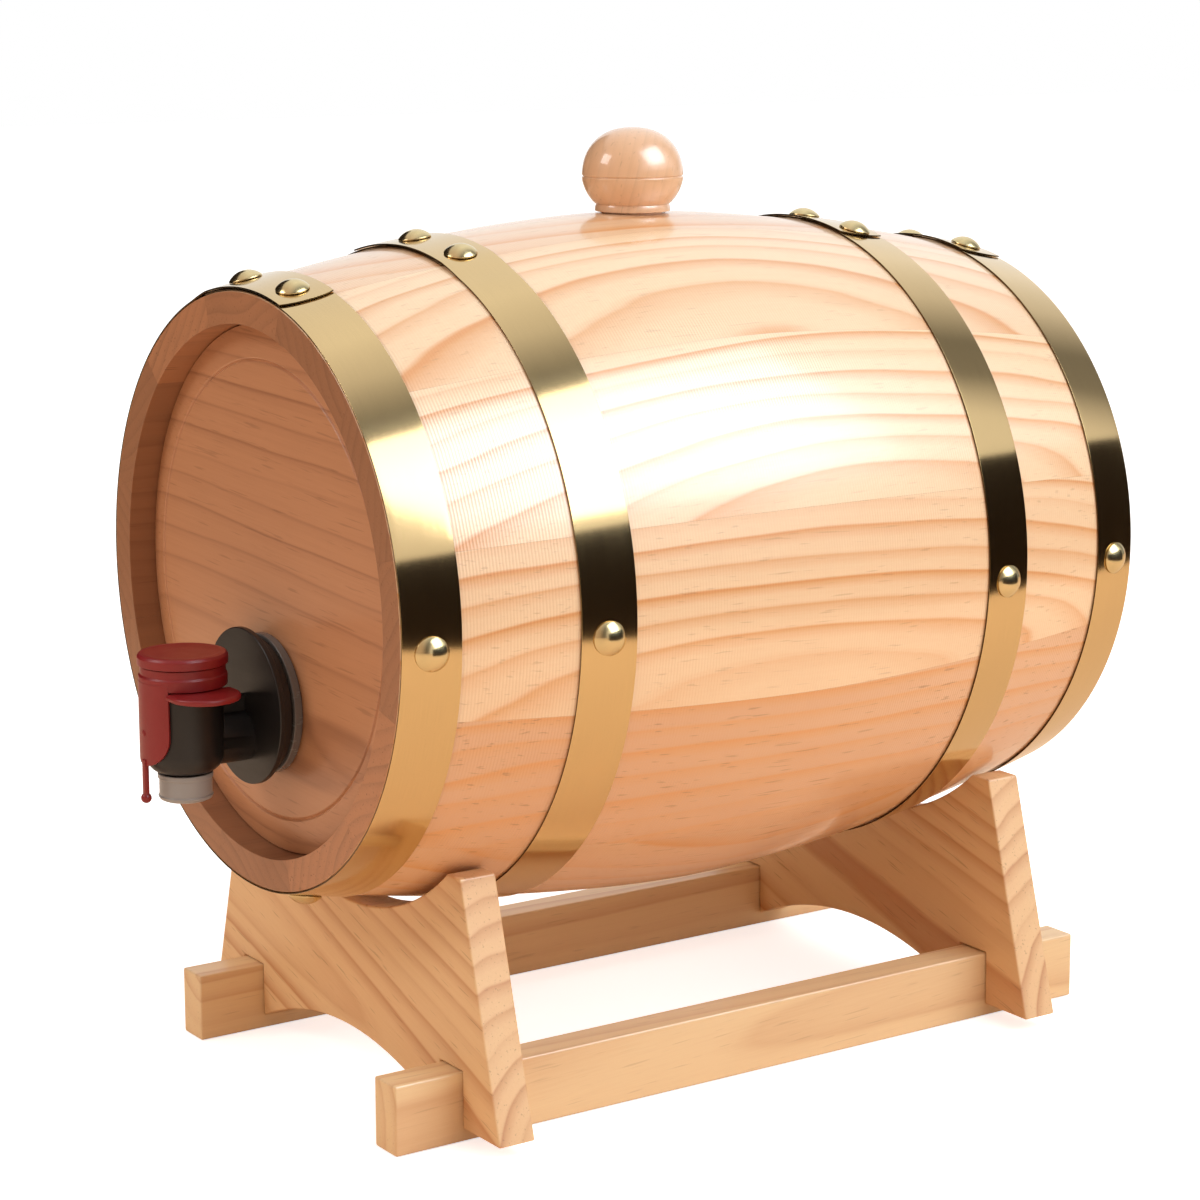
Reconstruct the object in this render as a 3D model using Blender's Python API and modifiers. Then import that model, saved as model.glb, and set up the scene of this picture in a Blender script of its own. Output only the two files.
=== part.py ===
"""Small wine barrel lying on a two-cradle stand, with a push tap and a knob bung.

Metres, +Z up. The barrel's axis runs along Y and the tap faces -Y. The origin is the middle of the
footprint, on the surface that the rails stand on.
"""

import math

import bmesh
import bpy
from mathutils import Matrix, Vector

FULL_TURN = 2 * math.pi

# Clearances
GAP = 0.0003
CUT_OVERRUN = 0.002

# Barrel shell: a straight bore inside, and a bulging outside
BARREL_LENGTH = 0.290
CHIME_RADIUS = 0.0957
BELLY_RADIUS = 0.1144
BULGE_POWER = 1.7
BORE_RADIUS = 0.0855
STAVE_COUNT = 12
FACETS_PER_STAVE = 4
BULGE_FACETS = 12

# Crozes, the grooves in the staves that hold the heads
CROZE_SETBACK = 0.0105
CROZE_WIDTH = 0.0050
CROZE_DEPTH = 0.0030

# Heads
HEAD_RECESS = 0.0072
HEAD_THICKNESS = 0.0120
HEAD_BEVEL_DROP = 0.0022
PANEL_GROOVE_RADIUS = 0.0737
PANEL_GROOVE_WIDTH = 0.0012
PANEL_GROOVE_DEPTH = 0.0009

# Hoops: brass strap wound once round, with its end lapped over its start
HOOP_WIDTH = 0.0185
HOOP_THICKNESS = 0.0005
CHIME_HOOP_INSET = 0.0002
QUARTER_HOOP_SETBACK = 0.0658
LAP_HIGH_ANGLE = math.radians(105)
LAP_LOW_ANGLE = math.radians(75)

# Hoop nails
NAIL_HEAD_RADIUS = 0.0054
NAIL_HEAD_HEIGHT = 0.0029
NAIL_EDGE_HEIGHT = 0.0004
NAIL_SHANK_RADIUS = 0.0009
NAIL_SHANK_LENGTH = 0.0085
NAIL_TIP_LENGTH = 0.0012
NAIL_SIDES = 10
NAIL_DOME_STEPS = 3
CHIME_NAIL_ANGLES = (98, 80, -2, -80, 178)
QUARTER_NAIL_ANGLES = (92, 77, -2, -80, 178)

# Knob bung, with heights above the top of the belly
BUNG_OFFSET = 0.0035
BUNG_HOLE_RADIUS = 0.0109
BUNG_SHANK_LENGTH = 0.0220
BUNG_SHANK_TAPER = 0.0010
BUNG_FOOT_RADIUS = 0.0127
BUNG_FOOT_HEIGHT = 0.0024
BUNG_WAIST_RADIUS = 0.0123
BUNG_GROOVE_HEIGHT = 0.0118
BUNG_GROOVE_WIDTH = 0.0012
BUNG_GROOVE_DEPTH = 0.0008
BUNG_KNOB_RADIUS = 0.0171
BUNG_HEIGHT = 0.0280
BUNG_SIDES = 24
BUNG_DOME_STEPS = 6
BUNG_BOWL_STEPS = 3

# Stand: two cradle boards notched over two rails
BOARD_THICKNESS = 0.0131
FRONT_CRADLE_SETBACK = 0.0465
REAR_CRADLE_SETBACK = 0.0418
CRADLE_FOOT_HALF_WIDTH = 0.0949
CRADLE_FOOT_HEIGHT = 0.0045
CRADLE_TOP_HALF_WIDTH = 0.0728
HORN_HEIGHT = 0.0855
HORN_INNER_HALF_WIDTH = 0.0651
SADDLE_DEPTH = 0.0239
SADDLE_STEPS = 12
ARCH_HEIGHT = 0.0137
ARCH_STEPS = 8
RAIL_THICKNESS = 0.0130
RAIL_HEIGHT = 0.0229
RAIL_SPACING = 0.1324
RAIL_FRONT_REACH = 0.0240
RAIL_REAR_REACH = 0.0276

# Screws that hold each rail up into each cradle
SCREW_HEAD_RADIUS = 0.0034
SCREW_HEAD_HEIGHT = 0.0026
SCREW_HEAD_INSET = 0.0008
SCREW_RADIUS = 0.0016
SCREW_GRIP = 0.0120
SCREW_POINT_LENGTH = 0.0030
SCREW_SIDES = 10

# Tap: places are along the barrel's axis from the head face, and heights from the tap's own axis
TAP_DROP = 0.0364
TAP_REACH = 0.0306
TAP_SIDES = 24
GLAND_FLANGE_RADIUS = 0.0227
GLAND_FLANGE_THICKNESS = 0.0029
GLAND_TUBE_RADIUS = 0.0200
GLAND_BORE_RADIUS = 0.0172
GLAND_TUBE_OVERHANG = 0.0088
TAP_HUB_RADIUS = 0.0219
TAP_HUB_LENGTH = 0.0041
TAP_HUB_GROOVE_DEPTH = 0.0012
TAP_FLANGE_RADIUS = 0.0253
TAP_FLANGE_THICKNESS = 0.0021
SPIGOT_BORE_RADIUS = 0.0132
SPIGOT_SETBACK = 0.0020
RING_GROOVE_SETBACK = 0.0085
RING_GROOVE_WIDTH = 0.0024
RING_GROOVE_DEPTH = 0.0019
ARM_RADIUS = 0.0082
ARM_DROP = 0.0094
ARM_BORE_RADIUS = 0.0055
ARM_WEB_THICKNESS = 0.0020
ARM_WEB_TOP = 0.0040
BODY_RADIUS = 0.0125
BODY_TOP_RADIUS = 0.0110
BODY_TOP = 0.0140
BODY_SHOULDER = 0.0074
BODY_TAPER_TOP = -0.0115
BODY_TAPER_BOTTOM = -0.0180
BODY_TAPER_RADIUS = 0.0077
BODY_TAPER_STEPS = 3
NECK_RADIUS = 0.0066
NECK_BOTTOM = -0.0260
NECK_BORE_RADIUS = 0.0056
CHAMBER_RADIUS = 0.0088
CHAMBER_FLOOR = -0.0110
LEDGE_RADIUS = 0.0099
LEDGE_HEIGHT = 0.0110
SEAT_TOP = -0.0155
SEAT_THICKNESS = 0.0015
SEAT_APPROACH_RADIUS = 0.0052
SEAT_HOLE_RADIUS = 0.0034

# Valve and push button
BUTTON_TRAVEL = 0.0026
BUTTON_RADIUS = 0.0143
BUTTON_SKIRT_THICKNESS = 0.0005
BUTTON_BOTTOM = 0.0168
BUTTON_TOP = 0.0204
BUTTON_PLATE_THICKNESS = 0.0008
BUTTON_DISH_DEPTH = 0.0006
BUTTON_DISH_RADIUS = 0.0118
BUTTON_BOSS_RADIUS = 0.0034
BUTTON_EDGE = 0.0005
STEM_RADIUS = 0.0015
VALVE_DISC_RADIUS = 0.0045
VALVE_DISC_THICKNESS = 0.0010
VALVE_SEAL_THICKNESS = 0.0010
DIAPHRAGM_WALL = 0.0010
DIAPHRAGM_RIM_WIDTH = 0.0014
DIAPHRAGM_RIM_HEIGHT = 0.0016
DIAPHRAGM_CROWN_RADIUS = 0.0040

# Tamper collar with its tongue and pull strip, and the finger grip under it
COLLAR_TOP_RADIUS = 0.0135
COLLAR_BOTTOM_RADIUS = 0.0140
TONGUE_RADIUS = 0.0141
TONGUE_THICKNESS = 0.0013
TONGUE_HALF_ANGLE = math.radians(44)
TONGUE_STRAIGHT_BOTTOM = -0.0048
STRIP_RADIUS = 0.0138
STRIP_WIDTH = 0.0020
STRIP_THICKNESS = 0.0016
STRIP_BALL_RADIUS = 0.0017
STRIP_BALL_HEIGHT = -0.0251
STRIP_BALL_RINGS = 6
GRIP_THICKNESS = 0.0019
GRIP_WING_RADIUS = 0.0113
GRIP_WING_REACH = 0.0148

# Spout cap: a cup with a plug that fits the neck's bore
CAP_RADIUS = 0.00875
CAP_WALL = 0.0010
CAP_TOP = -0.0185
CAP_EDGE = 0.0016
CAP_PLUG_LENGTH = 0.0031

# Foil liner, empty and settled on the barrel's floor, with its neck round the gland's tube
LINER_REAR_GAP = 0.0313
LINER_HALF_WIDTH = 0.060
LINER_THICKNESS = 0.0080
LINER_FLOOR_GAP = 0.0012
LINER_NOSE_LENGTH = 0.060
LINER_TAIL_LENGTH = 0.012
LINER_NECK_WALL = 0.0010
LINER_NECK_LENGTH = 0.0110
LINER_AROUND = 24
LINER_NOSE_STEPS = 7
LINER_FLAT_STEPS = 4

# Derived places
HALF_LENGTH = BARREL_LENGTH / 2
QUARTER_HOOP_PLACE = HALF_LENGTH - QUARTER_HOOP_SETBACK
FRONT_CRADLE_INNER = HALF_LENGTH - FRONT_CRADLE_SETBACK
REAR_CRADLE_INNER = HALF_LENGTH - REAR_CRADLE_SETBACK
LINER_LENGTH = BARREL_LENGTH - 2 * (HEAD_RECESS + HEAD_THICKNESS) - GAP - LINER_REAR_GAP
STAVE_ANGLE = FULL_TURN / STAVE_COUNT
FACET_ANGLE = STAVE_ANGLE / FACETS_PER_STAVE
JOINT_ANGLE = GAP / BORE_RADIUS
FACET_COUNT = STAVE_COUNT * FACETS_PER_STAVE


def barrel_radius(along):
    """Outside radius of the staves at a distance from the barrel's middle."""
    share = abs(along) / HALF_LENGTH
    return BELLY_RADIUS - (BELLY_RADIUS - CHIME_RADIUS) * share**BULGE_POWER


def barrel_slope(along):
    """Angle that the outside makes with the barrel's axis, as it narrows away from the middle."""
    share = abs(along) / HALF_LENGTH
    fall = (BELLY_RADIUS - CHIME_RADIUS) / HALF_LENGTH
    return math.atan(fall * BULGE_POWER * share ** (BULGE_POWER - 1))


def seat_rise(inner_half_width, inner_face):
    """Height of the barrel's axis above horn corners at this half width and inner face."""
    return math.sqrt((barrel_radius(inner_face) + GAP) ** 2 - inner_half_width**2)


AXIS_RISE = seat_rise(HORN_INNER_HALF_WIDTH, FRONT_CRADLE_INNER)
AXIS_HEIGHT = HORN_HEIGHT + AXIS_RISE
HEAD_FACE = HALF_LENGTH - HEAD_RECESS
TAP_DISTANCE = HEAD_FACE + TAP_REACH
FRONT_REACH = TAP_DISTANCE + STRIP_RADIUS + STRIP_BALL_RADIUS
MIDDLE_Y = (FRONT_REACH - HALF_LENGTH) / 2
TAP_HEIGHT = AXIS_HEIGHT - TAP_DROP
TAP_Y = MIDDLE_Y - TAP_DISTANCE
HEAD_Y = MIDDLE_Y - HEAD_FACE


def place_in_barrel(turned_about_z=0.0):
    """Frame whose Z runs along the barrel's axis towards the tap, and whose X is the world's X."""
    face_front = Matrix.Rotation(math.radians(90), 4, "X")
    spin = Matrix.Rotation(turned_about_z, 4, "Z")
    return Matrix.Translation((0, MIDDLE_Y, AXIS_HEIGHT)) @ face_front @ spin


def place_on_tap():
    """Frame at the tap's upright axis, level with the axis that it turns on."""
    return Matrix.Translation((0, TAP_Y, TAP_HEIGHT))


def place_in_gland():
    """Frame on the gland's axis at the head face, with Z towards the tap."""
    face_front = Matrix.Rotation(math.radians(90), 4, "X")
    return Matrix.Translation((0, HEAD_Y, TAP_HEIGHT)) @ face_front


# Scene, collections and materials
def clear_scene():
    for obj in list(bpy.data.objects):
        bpy.data.objects.remove(obj)


def new_collection(name):
    collection = bpy.data.collections.new(name)
    bpy.context.scene.collection.children.link(collection)
    return collection


def new_material(name, color, roughness, metallic=0.0):
    material = bpy.data.materials.new(name)
    material.use_nodes = True
    shader = material.node_tree.nodes["Principled BSDF"]
    shader.inputs["Base Color"].default_value = (*color, 1.0)
    shader.inputs["Roughness"].default_value = roughness
    shader.inputs["Metallic"].default_value = metallic
    return material


clear_scene()
PARTS = new_collection("wine_barrel")
CUTTERS = new_collection("cutters")

STAVE_WOOD = new_material("lacquered_stave_wood", (0.78, 0.52, 0.30), 0.35)
HEAD_WOOD = new_material("lacquered_head_wood", (0.58, 0.33, 0.17), 0.40)
STAND_WOOD = new_material("stand_wood", (0.74, 0.46, 0.25), 0.50)
KNOB_WOOD = new_material("glossy_knob_wood", (0.80, 0.52, 0.32), 0.15)
STRAP_BRASS = new_material("brushed_strap_brass", (0.72, 0.53, 0.26), 0.35, 1.0)
NAIL_BRASS = new_material("polished_nail_brass", (0.83, 0.70, 0.38), 0.18, 1.0)
SCREW_STEEL = new_material("zinc_screw_steel", (0.62, 0.62, 0.60), 0.40, 1.0)
BLACK_PLASTIC = new_material("black_tap_plastic", (0.02, 0.02, 0.02), 0.40)
RED_PLASTIC = new_material("red_button_plastic", (0.42, 0.02, 0.02), 0.30)
CLEAR_PLASTIC = new_material("milky_cap_plastic", (0.75, 0.75, 0.74), 0.35)
GREY_PLASTIC = new_material("smoky_gland_plastic", (0.40, 0.39, 0.37), 0.30)
WHITE_PLASTIC = new_material("white_valve_plastic", (0.85, 0.85, 0.82), 0.40)
SEAL_RUBBER = new_material("seal_rubber", (0.05, 0.05, 0.05), 0.70)
LINER_FOIL = new_material("liner_foil", (0.70, 0.70, 0.72), 0.30, 0.9)


# Modelling helpers
def lofted(name, rings, material, place):
    """Piece skinned over rings of points, each with as many points, and closed at both ends."""
    shape = bmesh.new()
    loops = [[shape.verts.new(point) for point in ring] for ring in rings]
    count = len(loops[0])
    for near, far in zip(loops, loops[1:]):
        for i in range(count):
            j = (i + 1) % count
            shape.faces.new((near[i], near[j], far[j], far[i]))
    shape.faces.new(loops[0])
    shape.faces.new(loops[-1])
    return add_object(name, mesh_from(name, shape), material, place)


def add_object(name, mesh, material, place=None, collection=None):
    obj = bpy.data.objects.new(name, mesh)
    (collection or PARTS).objects.link(obj)
    if material:
        mesh.materials.append(material)
    if place is not None:
        obj.matrix_world = place
    return obj


def mesh_from(name, shape):
    """Mesh datablock of a bmesh, with its faces turned outwards."""
    bmesh.ops.recalc_face_normals(shape, faces=shape.faces)
    mesh = bpy.data.meshes.new(name)
    shape.to_mesh(mesh)
    shape.free()
    return mesh


def turned(name, profile, material, place, sides, collection=None):
    """Turned piece: (radius, height) points screwed round Z, running down the outer side."""
    mesh = bpy.data.meshes.new(name)
    points = [(radius, 0, height) for radius, height in profile]
    closed = profile[0][0] > 0
    links = [(i, i + 1) for i in range(len(points) - 1)]
    if closed:
        links.append((len(points) - 1, 0))
    mesh.from_pydata(points, links, [])
    obj = add_object(name, mesh, material, place, collection)
    screw = obj.modifiers.new("turn", "SCREW")
    screw.steps = sides
    screw.render_steps = sides
    screw.use_merge_vertices = True
    screw.merge_threshold = 0.00001
    screw.use_smooth_shade = True
    return obj


def plate(name, outline, thickness, material, place, collection=None):
    """Flat piece from an (x, y) outline, as thick as given about its own XY plane."""
    shape = bmesh.new()
    corners = [shape.verts.new((x, y, -thickness / 2)) for x, y in outline]
    face = shape.faces.new(corners)
    grown = bmesh.ops.extrude_face_region(shape, geom=[face, *face.edges], use_keep_orig=True)
    lifted = [item for item in grown["geom"] if isinstance(item, bmesh.types.BMVert)]
    bmesh.ops.translate(shape, verts=lifted, vec=(0, 0, thickness))
    return add_object(name, mesh_from(name, shape), material, place, collection)


def cylinder(name, radius, bottom, top, place, sides, material=None, collection=None):
    """Upright cylinder between two heights of the frame it is placed in."""
    shape = bmesh.new()
    bmesh.ops.create_cone(
        shape,
        cap_ends=True,
        segments=sides,
        radius1=radius,
        radius2=radius,
        depth=top - bottom,
        matrix=Matrix.Translation((0, 0, (top + bottom) / 2)),
    )
    return add_object(name, mesh_from(name, shape), material, place, collection)


def box(name, low, high, material, place=None, collection=None):
    """Block between two corners."""
    low, high = Vector(low), Vector(high)
    shape = bmesh.new()
    size = Matrix.Diagonal((*(high - low), 1))
    bmesh.ops.create_cube(shape, size=1, matrix=Matrix.Translation((low + high) / 2) @ size)
    return add_object(name, mesh_from(name, shape), material, place, collection)


def boolean(obj, other, operation):
    """Joins another object to this one or cuts it out, and hides the other."""
    if other.name not in CUTTERS.objects:
        for home in list(other.users_collection):
            home.objects.unlink(other)
        CUTTERS.objects.link(other)
    other.hide_render = True
    other.display_type = "WIRE"
    step = obj.modifiers.new(operation.lower(), "BOOLEAN")
    step.operation = operation
    step.solver = "EXACT"
    step.object = other
    return obj


def cut(obj, cutter):
    return boolean(obj, cutter, "DIFFERENCE")


def join(obj, other):
    return boolean(obj, other, "UNION")


def arc_points(radius, start, end, steps, centre=(0.0, 0.0)):
    """Points of an arc, both ends included."""
    return [
        (
            centre[0] + radius * math.cos(start + (end - start) * i / steps),
            centre[1] + radius * math.sin(start + (end - start) * i / steps),
        )
        for i in range(steps + 1)
    ]


# Barrel shell
def stave_profile():
    """(radius, along) outline of a stave's side: outer face, chimes, bore and both crozes."""
    outer = [HALF_LENGTH * (1 - 2 * i / BULGE_FACETS) for i in range(BULGE_FACETS + 1)]
    outline = [(barrel_radius(along), along) for along in outer]
    croze_outer = HALF_LENGTH - CROZE_SETBACK
    croze_inner = croze_outer - CROZE_WIDTH
    groove = BORE_RADIUS + CROZE_DEPTH
    for side in (-1, 1):
        near, far = (croze_outer, croze_inner) if side < 0 else (croze_inner, croze_outer)
        outline += [
            (BORE_RADIUS, side * near),
            (groove, side * near),
            (groove, side * far),
            (BORE_RADIUS, side * far),
        ]
    outline.insert(len(outer), (BORE_RADIUS, -HALF_LENGTH))
    outline.append((BORE_RADIUS, HALF_LENGTH))
    return outline


def stave(index):
    """One of the staves, numbered anticlockwise seen from the tap, from the +X side."""
    start = (index - 0.5) * STAVE_ANGLE + JOINT_ANGLE / 2
    shape = bmesh.new()
    corners = [shape.verts.new((radius, 0, along)) for radius, along in stave_profile()]
    side_face = shape.faces.new(corners)
    axis = Vector((0, 0, 1))
    bmesh.ops.rotate(
        shape, verts=shape.verts, cent=Vector(), matrix=Matrix.Rotation(start, 3, axis)
    )
    bmesh.ops.spin(
        shape,
        geom=[side_face, *side_face.edges, *side_face.verts],
        cent=Vector(),
        axis=axis,
        angle=STAVE_ANGLE - JOINT_ANGLE,
        steps=FACETS_PER_STAVE,
    )
    name = f"stave_{index + 1:02d}"
    return add_object(name, mesh_from(name, shape), STAVE_WOOD, place_in_barrel())


def head_profile():
    """(radius, along) outline of a head: bevelled panel, groove, and the tongue in the croze."""
    face = HEAD_FACE
    rim_face = face - HEAD_BEVEL_DROP
    edge = BORE_RADIUS - GAP
    tongue = BORE_RADIUS + CROZE_DEPTH - GAP
    tongue_outer = HALF_LENGTH - CROZE_SETBACK - GAP
    tongue_inner = tongue_outer - CROZE_WIDTH + 2 * GAP
    back = face - HEAD_THICKNESS
    half_groove = PANEL_GROOVE_WIDTH / 2
    return [
        (0, face),
        (PANEL_GROOVE_RADIUS - half_groove, face),
        (PANEL_GROOVE_RADIUS, face - PANEL_GROOVE_DEPTH),
        (PANEL_GROOVE_RADIUS + half_groove, face),
        (edge, rim_face),
        (edge, tongue_outer),
        (tongue, tongue_outer),
        (tongue, tongue_inner),
        (edge, tongue_inner),
        (edge, back),
        (0, back),
    ]


def heads():
    """Both heads, turned so that their facets match the staves'."""
    half_facet = FACET_ANGLE / 2
    front = turned("front_head", head_profile(), HEAD_WOOD, place_in_barrel(half_facet), FACET_COUNT)
    to_rear = Matrix.Rotation(math.pi, 4, "X")
    rear_place = place_in_barrel() @ to_rear @ Matrix.Rotation(half_facet, 4, "Z")
    turned("rear_head", head_profile(), HEAD_WOOD, rear_place, FACET_COUNT)
    hole = cylinder(
        "gland_hole_cutter",
        GLAND_TUBE_RADIUS + GAP,
        -HEAD_THICKNESS - CUT_OVERRUN,
        CUT_OVERRUN,
        place_in_gland(),
        TAP_SIDES,
        collection=CUTTERS,
    )
    cut(front, hole)


# Hoops and nails
def hoop(name, middle, lap_down, staves):
    """Strap wound round the cone at a place along the barrel, with its nails. A lap that runs down
    ends on the tap's right-hand side, and the other kind ends on its left."""
    ends = (middle - HOOP_WIDTH / 2, middle + HOOP_WIDTH / 2)
    direction = -1 if lap_down else 1
    start = LAP_HIGH_ANGLE if lap_down else LAP_LOW_ANGLE
    lap_steps = round((LAP_HIGH_ANGLE - LAP_LOW_ANGLE) / FACET_ANGLE)
    steps = FACET_COUNT + lap_steps
    lap_rise = HOOP_THICKNESS + GAP
    sections = []
    for step in range(steps + 1):
        inner = GAP + (lap_rise if step >= FACET_COUNT else 0)
        outer = inner + HOOP_THICKNESS
        angle = start + direction * step * FACET_ANGLE
        corners = ((ends[0], inner), (ends[0], outer), (ends[1], outer), (ends[1], inner))
        section = []
        for along, lift in corners:
            radius = barrel_radius(along) + lift
            section.append((radius * math.cos(angle), radius * math.sin(angle), along))
        sections.append(section)
    strap = lofted(name, sections, STRAP_BRASS, place_in_barrel())
    angles = CHIME_NAIL_ANGLES if abs(middle) > QUARTER_HOOP_PLACE else QUARTER_NAIL_ANGLES
    for number, degrees in enumerate(angles, 1):
        hoop_nail(name.replace("hoop", f"nail_{number}"), middle, degrees, strap, staves)


def nail_profile():
    """(radius, height) outline of a domed nail, its seat at height zero."""
    dome_height = NAIL_HEAD_HEIGHT - NAIL_EDGE_HEIGHT
    dome_radius = (NAIL_HEAD_RADIUS**2 + dome_height**2) / (2 * dome_height)
    sweep = math.asin(NAIL_HEAD_RADIUS / dome_radius)
    points = []
    for step in range(NAIL_DOME_STEPS + 1):
        turn = sweep * step / NAIL_DOME_STEPS
        height = NAIL_HEAD_HEIGHT - dome_radius * (1 - math.cos(turn))
        points.append((dome_radius * math.sin(turn), height))
    return points + [
        (NAIL_HEAD_RADIUS, 0),
        (NAIL_SHANK_RADIUS, 0),
        (NAIL_SHANK_RADIUS, NAIL_TIP_LENGTH - NAIL_SHANK_LENGTH),
        (0, -NAIL_SHANK_LENGTH),
    ]


def hoop_nail(name, middle, degrees, strap, staves):
    """Domed nail square to the strap, through it and into the stave below, with its hole."""
    angle = math.radians(degrees)
    lapped = LAP_LOW_ANGLE <= angle <= LAP_HIGH_ANGLE
    layers = 2 if lapped else 1
    lift = layers * (HOOP_THICKNESS + GAP) + GAP
    tilt = math.copysign(barrel_slope(middle), middle)
    radius = barrel_radius(middle)
    outward = Matrix.Rotation(angle, 4, "Z") @ Matrix.Translation((radius, 0, middle))
    upright = Matrix.Rotation(math.radians(90) - tilt, 4, "Y")
    place = place_in_barrel() @ outward @ upright @ Matrix.Translation((0, 0, lift))
    turned(name, nail_profile(), NAIL_BRASS, place, NAIL_SIDES)
    hole = cylinder(
        name + "_cutter",
        NAIL_SHANK_RADIUS + GAP,
        -NAIL_SHANK_LENGTH - GAP,
        CUT_OVERRUN,
        place,
        NAIL_SIDES // 2,
        collection=CUTTERS,
    )
    cut(strap, hole)
    cut(staves[round(angle / STAVE_ANGLE) % STAVE_COUNT], hole)


# Bung
def bung(top_stave):
    """Turned knob with a tapered shank that fits the hole in the top stave."""
    crown = BELLY_RADIUS + GAP
    place = Matrix.Translation((0, MIDDLE_Y + BUNG_OFFSET, AXIS_HEIGHT + crown))
    groove_low = BUNG_GROOVE_HEIGHT - BUNG_GROOVE_WIDTH / 2
    groove_high = BUNG_GROOVE_HEIGHT + BUNG_GROOVE_WIDTH / 2
    dome_rise = BUNG_HEIGHT - groove_high
    profile = []
    for step in range(BUNG_DOME_STEPS + 1):
        turn = math.radians(90) * step / BUNG_DOME_STEPS
        height = groove_high + dome_rise * math.cos(turn)
        profile.append((BUNG_KNOB_RADIUS * math.sin(turn), height))
    profile.append((BUNG_KNOB_RADIUS - BUNG_GROOVE_DEPTH, BUNG_GROOVE_HEIGHT))
    bowl_drop = groove_low - BUNG_FOOT_HEIGHT
    bowl_draw = BUNG_KNOB_RADIUS - BUNG_WAIST_RADIUS
    for step in range(BUNG_BOWL_STEPS + 1):
        turn = math.radians(90) * step / BUNG_BOWL_STEPS
        radius = BUNG_KNOB_RADIUS - bowl_draw * (1 - math.cos(turn))
        profile.append((radius, groove_low - bowl_drop * math.sin(turn)))
    shank_radius = BUNG_HOLE_RADIUS - GAP
    profile += [
        (BUNG_FOOT_RADIUS, BUNG_FOOT_HEIGHT / 2),
        (BUNG_FOOT_RADIUS, 0),
        (shank_radius, 0),
        (shank_radius - BUNG_SHANK_TAPER, -BUNG_SHANK_LENGTH),
        (0, -BUNG_SHANK_LENGTH),
    ]
    turned("bung", profile, KNOB_WOOD, place, BUNG_SIDES)
    wall = BELLY_RADIUS - BORE_RADIUS
    hole = cylinder(
        "bung_hole_cutter",
        BUNG_HOLE_RADIUS,
        -wall - CUT_OVERRUN,
        CUT_OVERRUN,
        place,
        BUNG_SIDES,
        collection=CUTTERS,
    )
    cut(top_stave, hole)


# Stand
def cradle_outline(inner_half_width):
    """(x, z) outline of a cradle board: slanted ends, horns, saddle, rail notches and arch."""
    notch_outer = RAIL_SPACING / 2 + RAIL_THICKNESS / 2 + GAP
    notch_inner = RAIL_SPACING / 2 - RAIL_THICKNESS / 2 - GAP
    notch_top = RAIL_HEIGHT + GAP
    half, depth = inner_half_width, SADDLE_DEPTH
    saddle_radius = (half * half + depth * depth) / (2 * depth)
    saddle_sweep = math.asin(half / saddle_radius)
    saddle_centre = (0, HORN_HEIGHT - depth + saddle_radius)
    down = math.radians(-90)
    saddle = arc_points(
        saddle_radius, down + saddle_sweep, down - saddle_sweep, SADDLE_STEPS, saddle_centre
    )
    span, rise = notch_inner, ARCH_HEIGHT
    arch_radius = (span * span + rise * rise) / (2 * rise)
    arch_sweep = math.asin(span / arch_radius)
    arch_centre = (0, CRADLE_FOOT_HEIGHT + rise - arch_radius)
    up = math.radians(90)
    arch = arc_points(arch_radius, up + arch_sweep, up - arch_sweep, ARCH_STEPS, arch_centre)
    return [
        (CRADLE_FOOT_HALF_WIDTH, CRADLE_FOOT_HEIGHT),
        (CRADLE_TOP_HALF_WIDTH, HORN_HEIGHT),
        *saddle,
        (-CRADLE_TOP_HALF_WIDTH, HORN_HEIGHT),
        (-CRADLE_FOOT_HALF_WIDTH, CRADLE_FOOT_HEIGHT),
        (-notch_outer, CRADLE_FOOT_HEIGHT),
        (-notch_outer, notch_top),
        (-notch_inner, notch_top),
        *arch,
        (notch_inner, notch_top),
        (notch_outer, notch_top),
        (notch_outer, CRADLE_FOOT_HEIGHT),
    ]


def cradle(name, inner_face, side):
    """Cradle board across the stand, on the tap's side when side is -1."""
    radius = barrel_radius(inner_face) + GAP
    half_width = math.sqrt(radius * radius - AXIS_RISE * AXIS_RISE)
    middle = MIDDLE_Y + side * (inner_face + BOARD_THICKNESS / 2)
    upright = Matrix.Rotation(math.radians(90), 4, "X")
    place = Matrix.Translation((0, middle, 0)) @ upright
    board = plate(name, cradle_outline(half_width), BOARD_THICKNESS, STAND_WOOD, place)
    return board, middle


def rail(name, side):
    """Rail under both cradles, on the +X side when side is 1."""
    middle = side * RAIL_SPACING / 2
    front = MIDDLE_Y - FRONT_CRADLE_INNER - BOARD_THICKNESS - RAIL_FRONT_REACH
    rear = MIDDLE_Y + REAR_CRADLE_INNER + BOARD_THICKNESS + RAIL_REAR_REACH
    low = (middle - RAIL_THICKNESS / 2, front, 0)
    high = (middle + RAIL_THICKNESS / 2, rear, RAIL_HEIGHT)
    return box(name, low, high, STAND_WOOD), middle


def screw_profile(clearance=0.0, tail=0.0):
    """(radius, height) outline of a countersunk screw, upside down with its head at the bottom."""
    shank = SCREW_RADIUS + clearance
    head = SCREW_HEAD_RADIUS + clearance
    top = RAIL_HEIGHT + SCREW_GRIP + clearance
    return [
        (0, top),
        (shank, top - SCREW_POINT_LENGTH),
        (shank, SCREW_HEAD_INSET + SCREW_HEAD_HEIGHT + clearance),
        (head, SCREW_HEAD_INSET + clearance),
        (head, SCREW_HEAD_INSET - tail),
        (0, SCREW_HEAD_INSET - tail),
    ]


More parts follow.
